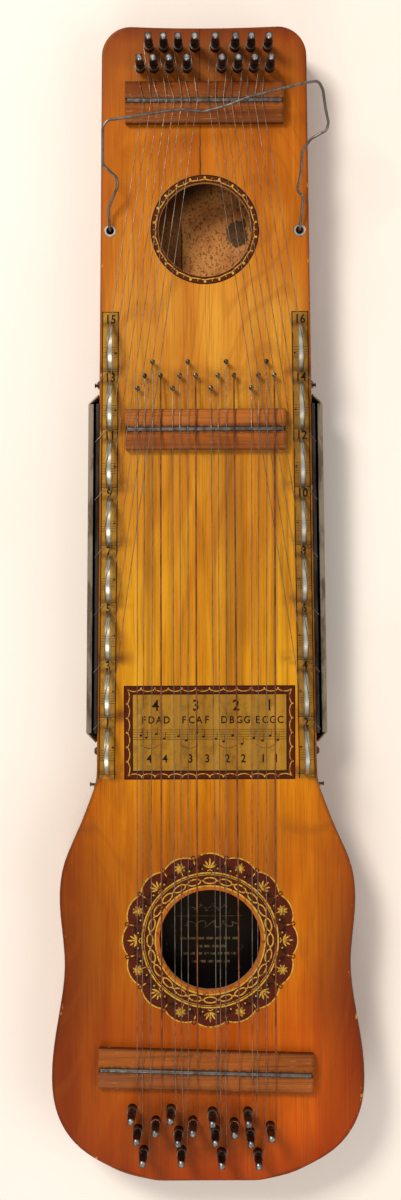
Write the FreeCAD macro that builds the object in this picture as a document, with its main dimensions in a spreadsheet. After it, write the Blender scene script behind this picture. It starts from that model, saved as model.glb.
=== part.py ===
"""Chorded zither (bowed melody strings and plucked chord strings), parametric model.

Frame: millimetres, lying on its back. The origin is under the middle of the body, +Z is the
soundboard's normal, +Y points to the head (melody pin) end and +X to the right.
"""
import FreeCAD
import Part
import math
import os
import Sketcher

Vector = FreeCAD.Vector

SIZES = {
    # body
    "body_length": 689.0,
    "head_width": 120.4,
    "neck_width": 132.0,
    "bout_width": 188.6,
    "shoulder_from_tail": 249.5,
    "head_corner_radius": 17.0,
    "head_dip": 1.0,
    "body_depth": 38.0,
    "soundboard_thick": 3.5,
    "back_thick": 3.0,
    "rib_thick": 3.0,
    "edge_radius": 1.2,
    "glue_gap": 0.1,
    # blocks and braces inside
    "head_block_length": 42.0,
    "tail_block_length": 54.0,
    "hitch_block_y": 137.0,
    "hitch_block_length": 30.0,
    "brace_width": 10.0,
    "brace_depth": 9.0,
    # sound holes and eyelets
    "upper_hole_from_head": 118.5,
    "upper_hole_diameter": 55.0,
    "lower_hole_x": 1.5,
    "lower_hole_from_tail": 147.0,
    "lower_hole_diameter": 61.0,
    "eyelet_x": 55.9,
    "eyelet_from_head": 119.1,
    "eyelet_flange": 7.2,
    "eyelet_barrel": 5.0,
    "eyelet_bore": 4.0,
    "eyelet_clearance": 0.05,
    # tuning pins
    "pin_diameter": 5.0,
    "pin_length": 44.0,
    "pin_height": 24.0,
    "pin_square": 3.9,
    "pin_square_length": 11.0,
    "pin_tip": 0.8,
    "pin_eye_diameter": 1.3,
    "pin_eye_height": 9.5,
    "pin_fit": 0.05,
    "pin_board_clearance": 0.3,
    # head pins stand in two rows
    "head_row_upper_from_head": 12.6,
    "head_row_lower_from_head": 24.6,
    # bridges
    "bridge_width": 24.0,
    "bridge_edge_height": 4.5,
    "rod_diameter": 2.7,
    "rod_seat_clearance": 0.03,
    "rod_margin": 1.5,
    "head_bridge_from_head": 45.1,
    "head_bridge_length": 92.8,
    "head_bridge_height": 8.5,
    "middle_bridge_y": 108.3,
    "middle_bridge_length": 94.6,
    "middle_bridge_height": 7.5,
    "tail_bridge_x": -1.3,
    "tail_bridge_from_tail": 68.6,
    "tail_bridge_length": 129.0,
    "tail_bridge_height": 7.0,
    "tail_bridge_turn": -1.8,
    # bow guides: hoops along both edges
    "guide_count": 8.0,
    "guide_first_y": 156.5,
    "guide_pitch": 34.25,
    "guide_inset": 6.6,
    "guide_width": 3.0,
    "guide_thick": 0.9,
    "guide_height": 14.25,
    "guide_leg_depth": 3.3,
    # side guards and hitch rails
    "guard_y": 25.5,
    "guard_wall_length": 196.5,
    "guard_stand": 6.6,
    "guard_thick": 0.8,
    "guard_bevel": 5.0,
    "guard_tab": 13.5,
    "guard_base_z": 17.0,
    "guard_tab_height": 8.0,
    "guard_height": 18.0,
    "guard_lip": 3.0,
    "rail_thick": 1.8,
    "rail_height": 6.9,
    "rail_proud": 0.4,
    "screw_head_diameter": 5.0,
    "screw_head_height": 2.0,
    "screw_shank_diameter": 2.4,
    "screw_length": 6.0,
    # hitch pins
    "chord_hitch_y": 132.5,
    "hitch_diameter": 1.6,
    "hitch_head_diameter": 2.8,
    "hitch_height": 6.5,
    "hitch_depth": 10.0,
    "side_hitch_drop": 9.5,
    "side_hitch_height": 3.4,
    "side_hitch_depth": 8.0,
    "side_hitch_head": 0.8,
    # strings
    "melody_diameter": 0.4,
    "chord_diameter": 0.45,
    "bass_diameter": 0.9,
    "bass_core_diameter": 0.45,
    "bass_bare_length": 14.0,
    "string_clearance": 0.05,
    "coil_height": 6.0,
    "coil_length": 1.4,
    "loop_height": 3.6,
    "melody_rod_x": -1.0,
    "melody_rod_gap": 6.0,
    "melody_rod_pitch": 4.5,
    "string_tail_run": 7.0,
    # loose wire
    "wire_diameter": 1.6,
    "wire_bend_radius": 4.0,
    "wire_end_depth": 5.0,
}

# Lower bout, by the share of the way down from the shoulder to the tail. Down to the widest
# place it swells: share of the growth from the neck's half width to the bout's. Round the tail
# it closes: share of the bout's half width.
BOUT_SWELL = (
    (0.073, 0.159), (0.146, 0.413), (0.218, 0.689), (0.309, 0.809), (0.469, 0.710), (0.605, 0.862),
    (0.731, 1.0),
)
BOUT_CLOSE = (
    (0.842, 0.961), (0.915, 0.834), (0.965, 0.63), (0.983, 0.52), (0.9935, 0.41), (1.0, 0.0),
)

# Head tuning pins by string number: x and row. Odd strings run to the left edge, even ones to
# the right edge, and the outermost string goes to the first hoop.
HEAD_PINS = {
    15: (-37.5, "lower"), 13: (-32.3, "upper"), 11: (-29.5, "lower"), 9: (-23.6, "upper"),
    7: (-20.4, "lower"), 5: (-15.1, "upper"), 3: (-10.2, "lower"), 1: (-5.5, "upper"),
    2: (6.4, "upper"), 4: (10.1, "lower"), 6: (18.0, "upper"), 8: (19.5, "lower"),
    10: (27.2, "upper"), 12: (29.0, "lower"), 14: (37.2, "upper"), 16: (38.4, "lower"),
}

# Chords: each has three plain strings and one wound bass string. A chord's hitch pins stand at
# its x plus these offsets; the strings cross the tail rod at these x, and each tuning pin is
# given by its x and its distance from the tail end.
HITCH_OFFSETS = ((0.0, 0.0), (4.2, 7.4), (9.0, 15.4), (13.6, 7.4))
CHORDS = (
    {"hitch_x": -40.1, "rod": (-42.5, -39.5, -34.4, -27.7),
     "pins": ((-45.8, 44.9), (-42.6, 32.6), (-39.1, 19.6), (-31.6, 37.6))},
    {"hitch_x": -19.4, "rod": (-19.6, -15.8, -11.9, -6.3),
     "pins": ((-22.5, 44.8), (-18.0, 31.4), (-16.2, 19.5), (-9.3, 37.5))},
    {"hitch_x": 3.2, "rod": (5.0, 7.5, 10.5, 18.8),
     "pins": ((2.4, 43.0), (4.1, 31.7), (7.8, 18.2), (15.5, 36.4))},
    {"hitch_x": 27.0, "rod": (26.4, 29.4, 34.6, 40.5),
     "pins": ((23.8, 42.9), (25.2, 30.9), (29.8, 17.8), (37.4, 34.1))},
)
BASS = 3

BRACE_YS = (70.0, -60.0, -245.0)

# The loose wire's route from the right eyelet over the head bridge to the left eyelet: x,
# distance past the eyelets towards the head, and height over the soundboard.
WIRE_ROUTE = (
    (57.9, 18.4, 6.0), (54.1, 21.6, 8.0), (56.0, 30.6, 12.0), (56.8, 43.1, 15.0),
    (61.4, 49.0, 17.5), (70.6, 53.6, 19.5), (71.4, 57.6, 20.5), (69.6, 65.6, 22.0),
    (68.0, 75.6, 23.5), (65.4, 80.6, 24.0), (55.8, 79.0, 24.0), (25.5, 71.8, 23.0),
    (13.1, 67.2, 22.0), (-0.4, 64.0, 21.0), (-11.7, 65.3, 22.0), (-21.0, 64.2, 22.5),
    (-41.6, 60.6, 24.0), (-56.0, 58.6, 24.0), (-58.6, 54.6, 23.5), (-59.1, 34.8, 18.0),
    (-51.2, 28.0, 14.5), (-50.7, 23.6, 12.5), (-56.6, 11.6, 6.5),
)

doc = FreeCAD.newDocument("zither")
sheet = doc.addObject("Spreadsheet::Sheet", "Sizes")
for row, (alias, value) in enumerate(SIZES.items(), start=1):
    sheet.set(f"A{row}", alias)
    sheet.set(f"B{row}", str(value))
    sheet.setAlias(f"B{row}", alias)
doc.recompute()

nodes = {}


def size(alias):
    """A driving size, read from the sheet."""
    return float(sheet.get(alias))


def head_end(alias):
    """The y of a place that is given by its distance from the head end."""
    return size("body_length") / 2 - size(alias)


def tail_end(alias):
    """The y of a place that is given by its distance from the tail end."""
    return size(alias) - size("body_length") / 2


def keep(feature, label):
    """Name a finished sub-part; its label names its file."""
    feature.Label = label
    nodes[label] = feature
    return feature


def bind(feature, **expressions):
    """Tie a feature's properties to sheet cells."""
    for name, expression in expressions.items():
        feature.setExpression(name, expression)


# ---------------------------------------------------------------- outline

def half_width(y):
    """Half width of the body along its straight, slightly tapered side."""
    head, neck = size("head_width") / 2, size("neck_width") / 2
    top = size("body_length") / 2 - size("head_corner_radius")
    share = (top - y) / (top - tail_end("shoulder_from_tail"))
    return head + (neck - head) * share


def taper():
    """Angle of the straight side to the Y axis, in degrees."""
    top = size("body_length") / 2 - size("head_corner_radius")
    return math.degrees(math.atan2(half_width(tail_end("shoulder_from_tail")) - half_width(top),
                                   top - tail_end("shoulder_from_tail")))


def lower_bout():
    """The right half of the lower bout, from the shoulder to the middle of the tail."""
    tail = -size("body_length") / 2
    shoulder = tail_end("shoulder_from_tail")
    half, neck = size("bout_width") / 2, half_width(shoulder)
    stations = [(0.0, neck)]
    stations += [(way, neck + (half - neck) * growth) for way, growth in BOUT_SWELL]
    stations += [(way, half * share) for way, share in BOUT_CLOSE]
    points = [Vector(width, shoulder + (tail - shoulder) * way, 0) for way, width in stations]
    curve = Part.BSplineCurve()
    angle = math.radians(taper())
    curve.interpolate(Points=points, InitialTangent=Vector(math.sin(angle), -math.cos(angle), 0),
                      FinalTangent=Vector(-1, 0, 0))
    return curve


def side_x(y):
    """Half width of the body at this y, on the straight side or on the lower bout."""
    if y >= tail_end("shoulder_from_tail"):
        return half_width(y)
    curve = lower_bout()
    low, high = curve.FirstParameter, curve.LastParameter
    for _ in range(40):
        middle = (low + high) / 2
        if curve.value(middle).y > y:
            low = middle
        else:
            high = middle
    return curve.value(low).x


def inset_curve(curve, inset, count=40):
    """The curve moved towards the inside of the body."""
    points = []
    for step in range(count + 1):
        u = curve.FirstParameter + (curve.LastParameter - curve.FirstParameter) * step / count
        along = curve.tangent(u)[0]
        points.append(curve.value(u) + Vector(along.y, -along.x, 0) * inset)
    points[-1].x = 0.0
    moved = Part.BSplineCurve()
    moved.interpolate(Points=points)
    return moved


def half_outline(inset=0.0):
    """Geometry of the right half: hollow top edge, corner, straight side and lower bout."""
    radius = size("head_corner_radius")
    top = size("body_length") / 2
    side = Vector(half_width(top - radius) - inset, top - radius, 0)
    corner_centre = Vector(side.x + inset - radius, top - radius, 0)
    inner = radius - inset
    corner = Part.ArcOfCircle(Part.Circle(corner_centre, Vector(0, 0, 1), inner), 0, math.pi / 2)
    bout = lower_bout()
    if inset:
        bout = inset_curve(bout, inset)
    dip = size("head_dip")
    middle, end = Vector(0, top - dip - inset, 0), corner_centre + Vector(0, inner, 0)
    arch = (end.x ** 2 + dip ** 2) / (2 * dip)
    arch_circle = Part.Circle(Vector(0, middle.y + arch, 0), Vector(0, 0, 1), arch)
    edge_top = Part.ArcOfCircle(arch_circle, 1.5 * math.pi, 1.5 * math.pi + math.asin(end.x / arch))
    edge_side = Part.LineSegment(corner_centre + Vector(inner, 0, 0), bout.StartPoint)
    return [edge_top, corner, edge_side, bout]


def mirrored(geometry):
    """The same geometry on the left side."""
    flip = FreeCAD.Matrix()
    flip.A11 = -1
    copies = []
    for piece in geometry:
        copy = piece.copy()
        copy.transform(flip)
        copies.append(copy)
    return copies


def full_outline(inset=0.0):
    half = half_outline(inset)
    return half + mirrored(half)


def add_blocked(sketch, geometry):
    """Put computed geometry in a sketch, fixed where it lies."""
    for piece in geometry:
        index = sketch.addGeometry(piece, False)
        sketch.addConstraint(Sketcher.Constraint("Block", index))


# ---------------------------------------------------------------- PartDesign helpers

def new_body(label):
    body = doc.addObject("PartDesign::Body", label)
    body.AllowCompound = True
    return keep(body, label)


def plane(body, role):
    """One of the body's own origin planes or axes."""
    return next(item for item in body.Origin.OriginFeatures if item.Role == role)


def new_sketch(body, name, role="XY_Plane", offset=0.0):
    sketch = body.newObject("Sketcher::SketchObject", name)
    sketch.AttachmentSupport = [(plane(body, role), "")]
    sketch.MapMode = "FlatFace"
    sketch.AttachmentOffset = FreeCAD.Placement(Vector(0, 0, offset), FreeCAD.Rotation())
    return sketch


def add_circle(sketch, x, y, diameter):
    """A circle with its centre held at x, y and its diameter tied to an expression."""
    index = sketch.addGeometry(Part.Circle(Vector(x, y, 0), Vector(0, 0, 1), 1.0), False)
    for kind, value in (("DistanceX", x), ("DistanceY", y)):
        if value < 0:
            sketch.addConstraint(Sketcher.Constraint(kind, index, 3, -1, 1, -value))
        else:
            sketch.addConstraint(Sketcher.Constraint(kind, -1, 1, index, 3, value))
    number = sketch.addConstraint(Sketcher.Constraint("Diameter", index, 2.0))
    sketch.setExpression(f"Constraints[{number}]", diameter)


def add_polygon(sketch, corners):
    points = [Vector(x, y, 0) for x, y in corners]
    sides = [Part.LineSegment(a, b) for a, b in zip(points, points[1:] + points[:1])]
    add_blocked(sketch, sides)


def pad(body, sketch, length, midplane=False, reverse=False):
    feature = body.newObject("PartDesign::Pad", sketch.Name + "_pad")
    feature.Profile = sketch
    feature.SideType = "Symmetric" if midplane else "One side"
    feature.Reversed = reverse
    feature.setExpression("Length", length)
    return feature


def pocket(body, sketch, length=None):
    """Cut a sketch out of the body, right through or to a length."""
    doc.recompute()
    before = body.Shape.Volume
    feature = body.newObject("PartDesign::Pocket", sketch.Name + "_pocket")
    feature.Profile = sketch
    if length is None:
        feature.Type = "ThroughAll"
        feature.SideType = "Symmetric"
    else:
        feature.setExpression("Length", length)
    doc.recompute()
    if body.Shape.Volume >= before:
        raise RuntimeError(f"{sketch.Name} cuts nothing")
    return feature


def round_edges(body, base, radius, z):
    """Fillet the edges of a pad that lie at one height, or stand along its ends."""
    doc.recompute()
    names = [f"Edge{number}" for number, edge in enumerate(base.Shape.Edges, start=1)
             if abs(edge.BoundBox.ZMin - z) < 1e-4 and abs(edge.BoundBox.ZMax - z) < 1e-4]
    fillet = body.newObject("PartDesign::Fillet", base.Name + "_fillet")
    fillet.Base = (base, names)
    fillet.setExpression("Radius", radius)
    doc.recompute()
    return fillet


# ---------------------------------------------------------------- places

def head_pin_place(number):
    x, row_name = HEAD_PINS[number]
    return x, head_end(f"head_row_{row_name}_from_head")


def chord_strings():
    """Every chord string: chord, string in the chord, hitch place, tail rod x, pin place."""
    tail = -size("body_length") / 2
    for chord, group in enumerate(CHORDS, start=1):
        for index, (dx, dy) in enumerate(HITCH_OFFSETS):
            hitch = (group["hitch_x"] + dx, size("chord_hitch_y") + dy)
            pin_x, from_tail = group["pins"][index]
            yield chord, index, hitch, group["rod"][index], (pin_x, tail + from_tail)


def tuning_pin_places():
    """Node name and place of every tuning pin."""
    places = {}
    for number in sorted(HEAD_PINS):
        places[f"melody_pin_{number}"] = head_pin_place(number)
    for chord, index, _, _, place in chord_strings():
        places[f"chord_pin_{4 * (chord - 1) + index + 1}"] = place
    return places


def side_of(number):
    """-1 for the odd strings at the left edge, +1 for the even ones."""
    return -1 if number % 2 else 1


def guide_y(number):
    """Middle of the hoop that carries a melody string; the outermost string has the first."""
    order = (16 - number) // 2
    return size("guide_first_y") - order * size("guide_pitch")


def guide_x(number):
    return side_of(number) * (half_width(guide_y(number)) - size("guide_inset"))


def board_top():
    return size("body_depth")


def on_side(side, y, z):
    """Placement on the body's straight side face, turned with its taper."""
    turn = FreeCAD.Rotation(Vector(0, 0, 1), side * taper())
    return FreeCAD.Placement(Vector(side * side_x(y), y, z), turn)


# ---------------------------------------------------------------- body shell

def make_back_board():
    body = new_body("back_board")
    sketch = new_sketch(body, "back_outline")
    add_blocked(sketch, full_outline())
    board = pad(body, sketch, "Sizes.back_thick")
    round_edges(body, board, "Sizes.edge_radius", 0.0)


def make_soundboard():
    body = new_body("soundboard")
    outline = new_sketch(body, "soundboard_outline")
    add_blocked(outline, full_outline())
    board = pad(body, outline, "Sizes.soundboard_thick", reverse=True)
    round_edges(body, board, "Sizes.edge_radius", 0.0)
    holes = new_sketch(body, "sound_holes")
    add_circle(holes, 0.0, head_end("upper_hole_from_head"), "Sizes.upper_hole_diameter")
    add_circle(holes, size("lower_hole_x"), tail_end("lower_hole_from_tail"),
               "Sizes.lower_hole_diameter")
    eyelet_hole = "Sizes.eyelet_barrel + 2 * Sizes.eyelet_clearance"
    for side in (-1, 1):
        add_circle(holes, side * size("eyelet_x"), head_end("eyelet_from_head"), eyelet_hole)
    pocket(body, holes)
    pin_holes = new_sketch(body, "board_pin_holes")
    for x, y in tuning_pin_places().values():
        add_circle(pin_holes, x, y, "Sizes.pin_diameter + 2 * Sizes.pin_board_clearance")
    pocket(body, pin_holes)
    body.setExpression(".Placement.Base.z", "Sizes.body_depth")


def make_rims():
    """Bent ribs, one for each half, butted at the head and at the tail."""
    for label, flip in (("rim_left", True), ("rim_right", False)):
        body = new_body(label)
        sketch = new_sketch(body, label + "_section")
        outer = half_outline()
        inner = half_outline(size("rib_thick"))
        butts = [Part.LineSegment(outer[0].StartPoint, inner[0].StartPoint),
                 Part.LineSegment(outer[-1].EndPoint, inner[-1].EndPoint)]
        geometry = outer + inner + butts
        add_blocked(sketch, mirrored(geometry) if flip else geometry)
        pad(body, sketch, "Sizes.body_depth - Sizes.back_thick - Sizes.soundboard_thick")
        body.setExpression(".Placement.Base.z", "Sizes.back_thick")


def make_cavity():
    """The space inside the ribs, which trims the blocks and braces."""
    outline = doc.addObject("Sketcher::SketchObject", "cavity_outline")
    add_blocked(outline, full_outline(size("rib_thick") + size("glue_gap")))
    cavity = doc.addObject("Part::Extrusion", "cavity")
    cavity.Base = outline
    cavity.DirMode = "Normal"
    cavity.Solid = True
    bind(cavity, LengthFwd="Sizes.body_depth")
    return cavity


def bounded_box(name, length_y, height, y_low, z_low):
    """A box across the whole body, its Y and Z extents tied to expressions."""
    box = doc.addObject("Part::Box", name)
    bind(box, Length="Sizes.bout_width", Width=length_y, Height=height)
    box.setExpression(".Placement.Base.x", "-Sizes.bout_width / 2")
    box.setExpression(".Placement.Base.y", y_low)
    box.setExpression(".Placement.Base.z", z_low)
    return box


def inside(label, cavity, box, tools=()):
    """A piece that fills the cavity within a box, less its drilled holes."""
    common = doc.addObject("Part::Common", label)
    common.Base = box
    common.Tool = cavity
    if not tools:
        return keep(common, label)
    common.Label = label + "_blank"
    drills = doc.addObject("Part::MultiFuse", label + "_drills")
    drills.Shapes = list(tools)
    drilled = doc.addObject("Part::Cut", label + "_drilled")
    drilled.Base = common
    drilled.Tool = drills
    return keep(drilled, label)


def pin_drills(prefix):
    """Drill shapes for one end's tuning pins, down to the pins' lower ends."""
    drills = []
    for name, (x, y) in tuning_pin_places().items():
        if name.startswith(prefix):
            drill = doc.addObject("Part::Cylinder", name + "_drill")
            bind(drill, Radius="Sizes.pin_diameter / 2 + Sizes.pin_fit",
                 Height="Sizes.pin_length")
            drill.Placement.Base = Vector(x, y, 0)
            drill.setExpression(".Placement.Base.z",
                                "Sizes.body_depth + Sizes.pin_height - Sizes.pin_length"
                                " - Sizes.pin_fit")
            drills.append(drill)
    return drills


def make_blocks():
    cavity = make_cavity()
    inner_depth = "Sizes.body_depth - Sizes.back_thick - Sizes.soundboard_thick"
    head = bounded_box("head_box", "Sizes.head_block_length", inner_depth,
                       "Sizes.body_length / 2 - Sizes.head_block_length", "Sizes.back_thick")
    inside("head_block", cavity, head, pin_drills("melody_pin"))
    tail = bounded_box("tail_box", "Sizes.tail_block_length", inner_depth,
                       "-Sizes.body_length / 2", "Sizes.back_thick")
    inside("tail_block", cavity, tail, pin_drills("chord_pin"))
    hitch = bounded_box("hitch_box", "Sizes.hitch_block_length", inner_depth,
                        "Sizes.hitch_block_y - Sizes.hitch_block_length / 2", "Sizes.back_thick")
    inside("hitch_block", cavity, hitch)
    braces = []
    for number, y in enumerate(BRACE_YS, start=1):
        box = bounded_box(f"brace_box_{number}", "Sizes.brace_width", "Sizes.brace_depth",
                          f"{y} - Sizes.brace_width / 2", "Sizes.back_thick")
        braces.append(box)
    bars = doc.addObject("Part::MultiFuse", "brace_bars")
    bars.Shapes = braces
    inside("back_braces", cavity, bars)


# ---------------------------------------------------------------- bridges

def make_bridge(label, height, length, x, y, turn=None):
    """A wooden bridge with a rounded top and a seat along its crest for a steel rod."""
    body = new_body(label)
    half = size("bridge_width") / 2
    crest = size(height)
    edge = min(size("bridge_edge_height"), crest * 0.8)
    seat = size("rod_diameter") / 2 + size("rod_seat_clearance")
    rise = crest - edge
    radius = (half ** 2 + rise ** 2) / (2 * rise)
    centre = Vector(0, crest - radius, 0)
    top_z = centre.y + math.sqrt(radius ** 2 - seat ** 2)
    edge_angle = math.atan2(edge - centre.y, half)
    seat_angle = math.atan2(top_z - centre.y, seat)
    circle = Part.Circle(centre, Vector(0, 0, 1), radius)
    seat_circle = Part.Circle(Vector(0, top_z, 0), Vector(0, 0, 1), seat)
    section = [
        Part.LineSegment(Vector(-half, 0, 0), Vector(half, 0, 0)),
        Part.LineSegment(Vector(half, 0, 0), Vector(half, edge, 0)),
        Part.ArcOfCircle(circle, edge_angle, seat_angle),
        Part.ArcOfCircle(seat_circle, math.pi, 2 * math.pi),
        Part.ArcOfCircle(circle, math.pi - seat_angle, math.pi - edge_angle),
        Part.LineSegment(Vector(-half, edge, 0), Vector(-half, 0, 0)),
    ]
    sketch = new_sketch(body, label + "_section", "YZ_Plane")
    add_blocked(sketch, section)
    pad(body, sketch, f"Sizes.{length}", midplane=True)
    angle = size(turn) if turn else 0.0
    body.Placement.Rotation = FreeCAD.Rotation(Vector(0, 0, 1), angle)
    body.setExpression(".Placement.Base.x", x)
    body.setExpression(".Placement.Base.y", y)
    body.setExpression(".Placement.Base.z", "Sizes.body_depth")
    rod = doc.addObject("Part::Cylinder", label + "_rod")
    bind(rod, Radius="Sizes.rod_diameter / 2", Height=f"Sizes.{length} - 2 * Sizes.rod_margin")
    doc.recompute()
    along = body.Placement.Rotation.multVec(Vector(1, 0, 0))
    reach = rod.Height.Value / 2
    rod.Placement = FreeCAD.Placement(body.Placement.Base - along * reach + Vector(0, 0, top_z),
                                      FreeCAD.Rotation(Vector(0, 0, 1), along))
    keep(rod, label + "_rod")
    return rod


def rod_line(rod):
    """Middle and direction of a rod."""
    along = rod.Placement.Rotation.multVec(Vector(0, 0, 1))
    return rod.Placement.Base + along * (rod.Height.Value / 2), along


def over_rod(rod, x, string_radius):
    """The point where a string at this x runs over a rod."""
    middle, along = rod_line(rod)
    point = middle + along * ((x - middle.x) / along.x)
    lift = rod.Radius.Value + string_radius + size("string_clearance")
    return point + Vector(0, 0, lift)


# ---------------------------------------------------------------- hardware

def add_tip(sketch, half):
    """What the file takes off the end of a pin: a slant all round, seen from the side."""
    top, tip = size("pin_length"), size("pin_tip")
    outside = half * math.sqrt(2) + 0.5
    slant_foot = (outside, top - tip - (outside - half) * tip / (tip + 0.2))
    add_polygon(sketch, [(half - tip - 0.2, top), (half, top - tip), slant_foot, (outside, top + 1),
                         (half - tip - 0.2, top + 1)])


def turn_away(body, sketch):
    """Take away what a section sweeps round the upright axis."""
    groove = body.newObject("PartDesign::Groove", sketch.Name + "_groove")
    groove.Profile = sketch
    groove.ReferenceAxis = (sketch, ["V_Axis"])
    groove.Angle = 360.0
    doc.recompute()
    sketch.Visibility = False
    body.Tip = groove
    return groove


def make_tuning_pin(label, x, y):
    """Steel zither pin: round shank, square head for the tuning key, eye for the string."""
    body = new_body(label)
    shank = new_sketch(body, label + "_round")
    add_circle(shank, 0.0, 0.0, "Sizes.pin_diameter")
    pad(body, shank, "Sizes.pin_length")
    half = size("pin_square") / 2
    flats = new_sketch(body, label + "_flats", offset=size("pin_length"))
    add_circle(flats, 0.0, 0.0, "Sizes.pin_diameter + 2")
    add_polygon(flats, [(half, half), (-half, half), (-half, -half), (half, -half)])
    pocket(body, flats, "Sizes.pin_square_length")
    tip = new_sketch(body, label + "_tip", "XZ_Plane")
    add_tip(tip, half)
    turn_away(body, tip)
    eye = new_sketch(body, label + "_eye", "XZ_Plane")
    eye_z = size("pin_length") - size("pin_height") + size("pin_eye_height")
    add_circle(eye, 0.0, eye_z, "Sizes.pin_eye_diameter")
    pocket(body, eye)
    body.Placement.Base = Vector(x, y, 0)
    body.setExpression(".Placement.Base.z",
                       "Sizes.body_depth + Sizes.pin_height - Sizes.pin_length")


def make_guides(label, side):
    """A row of half-round hoops, each driven into the soundboard by its two legs."""
    body = new_body(label)
    sketch = new_sketch(body, label + "_hoop", "YZ_Plane")
    outer = size("guide_height")
    inner = outer - size("guide_thick")
    leg = size("guide_leg_depth")
    ends = []
    arcs = []
    for radius in (outer, inner):
        dip = math.asin(leg / radius)
        circle = Part.Circle(Vector(0, 0, 0), Vector(0, 0, 1), radius)
        arcs.append(Part.ArcOfCircle(circle, -dip, math.pi + dip))
        ends.append((Vector(radius * math.cos(dip), -leg, 0),
                     Vector(-radius * math.cos(dip), -leg, 0)))
    closing = [Part.LineSegment(ends[0][k], ends[1][k]) for k in (0, 1)]
    add_blocked(sketch, arcs + closing)
    hoop = pad(body, sketch, "Sizes.guide_width", midplane=True)
    row = body.newObject("PartDesign::LinearPattern", label + "_row")
    row.Originals = [hoop]
    row.Direction = (plane(body, "Y_Axis"), [""])
    row.Reversed = True
    bind(row, Length="Sizes.guide_pitch * (Sizes.guide_count - 1)",
         Occurrences="Sizes.guide_count")
    body.Tip = row
    place = on_side(side, size("guide_first_y"), board_top())
    place.Base -= place.Rotation.multVec(Vector(side * size("guide_inset"), 0, 0))
    body.Placement = place


def guard_plan(side, tabs):
    """Plan of a side guard, seen from above; with its tabs, or only the standing wall."""
    stand, thick = size("guard_stand"), size("guard_thick")
    wall, bevel = size("guard_wall_length") / 2, size("guard_bevel")
    slant = thick * math.tan(math.pi / 8)
    inner = [(stand - thick, wall - slant), (thick, wall + stand - 2 * thick - slant)]
    outer = [(stand, wall), (thick, wall + stand - thick)]
    foot = wall + bevel + size("guard_tab")
    if tabs:
        inner = [(stand - thick, wall - slant), (0.0, wall + stand - thick - slant), (0.0, foot)]
        outer = [(stand, wall), (thick, wall + stand - thick), (thick, foot)]
    path = outer[::-1] + [(x, -y) for x, y in outer]
    back = [(x, -y) for x, y in inner[::-1]] + inner
    return [(side * x, y) for x, y in path + back]


def make_guard(label, side):
    """Bent sheet cover over the string ends: turned lip, closed floor and two screw tabs."""
    body = new_body(label)
    base = new_sketch(body, label + "_base")
    add_polygon(base, guard_plan(side, True))
    pad(body, base, "Sizes.guard_tab_height")
    wall = new_sketch(body, label + "_wall", offset=size("guard_tab_height"))
    add_polygon(wall, guard_plan(side, False))
    pad(body, wall, "Sizes.guard_height - Sizes.guard_tab_height")
    lip = new_sketch(body, label + "_lip", offset=size("guard_height"))
    far, near = size("guard_stand"), size("guard_stand") - size("guard_lip")
    half = size("guard_wall_length") / 2
    add_polygon(lip, [(side * near, half), (side * far, half), (side * far, -half),
                      (side * near, -half)])
    pad(body, lip, "Sizes.guard_thick", reverse=True)
    shelf = new_sketch(body, label + "_floor")
    thick = size("guard_thick")
    end = half + far - thick
    add_polygon(shelf, [(side * thick, end), (side * far, half),
                        (side * far, -half), (side * thick, -end)])
    pad(body, shelf, "Sizes.guard_thick")
    holes = new_sketch(body, label + "_screw_holes", "YZ_Plane")
    for y in screw_ys():
        add_circle(holes, y - size("guard_y"), size("guard_tab_height") / 2,
                   "Sizes.screw_shank_diameter + 2 * Sizes.pin_board_clearance")
    pocket(body, holes)
    body.Placement = on_side(side, size("guard_y"), size("guard_base_z"))


def screw_ys():
    """Places of the two guard screws along the side."""
    reach = (size("guard_wall_length") / 2 + size("guard_stand")
             + (size("guard_bevel") - size("guard_stand") + size("guard_tab")) / 2)
    return size("guard_y") + reach, size("guard_y") - reach


def make_rail(label, side):
    """Steel strip on the upper edge of the side, which the melody strings bend over."""
    box = doc.addObject("Part::Box", label)
    bind(box, Length="Sizes.rail_thick", Width="Sizes.guard_wall_length",
         Height="Sizes.rail_height")
    start = on_side(side, size("guard_y"), board_top() + size("rail_proud") - size("rail_height"))
    back = Vector(0 if side > 0 else -size("rail_thick"), -size("guard_wall_length") / 2, 0)
    start.Base += start.Rotation.multVec(back)
    box.Placement = start
    keep(box, label)


def make_screws():
    """Four round-head screws through the guards' tabs into the ribs."""
    head = size("screw_head_diameter") / 2
    shank = size("screw_shank_diameter") / 2
    under = size("guard_thick")
    screws = []
    for side in (-1, 1):
        for y in screw_ys():
            z = size("guard_base_z") + size("guard_tab_height") / 2
            place = on_side(side, y, z)
            place.Rotation = place.Rotation * FreeCAD.Rotation(Vector(0, 0, 1), Vector(side, 0, 0))
            dome = Part.makeSphere(head).cut(Part.makeBox(4 * head, 4 * head, 2 * head,
                                                          Vector(-2 * head, -2 * head, -2 * head)))
            flatten = FreeCAD.Matrix()
            flatten.A33 = size("screw_head_height") / head
            dome = dome.transformGeometry(flatten)
            dome.translate(Vector(0, 0, under))
            slot = Part.makeBox(2 * head, 0.6, head, Vector(-head, -0.3, under + 1.3))
            stem = Part.makeCylinder(shank, size("screw_length") + under,
                                     Vector(0, 0, -size("screw_length")))
            screw = dome.cut(slot).fuse(stem).removeSplitter()
            screw.Placement = place.multiply(screw.Placement)
            screws.append(screw)
    feature = doc.addObject("Part::Feature", "guard_screws")
    feature.Shape = Part.makeCompound(screws)
    keep(feature, "guard_screws")


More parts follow.
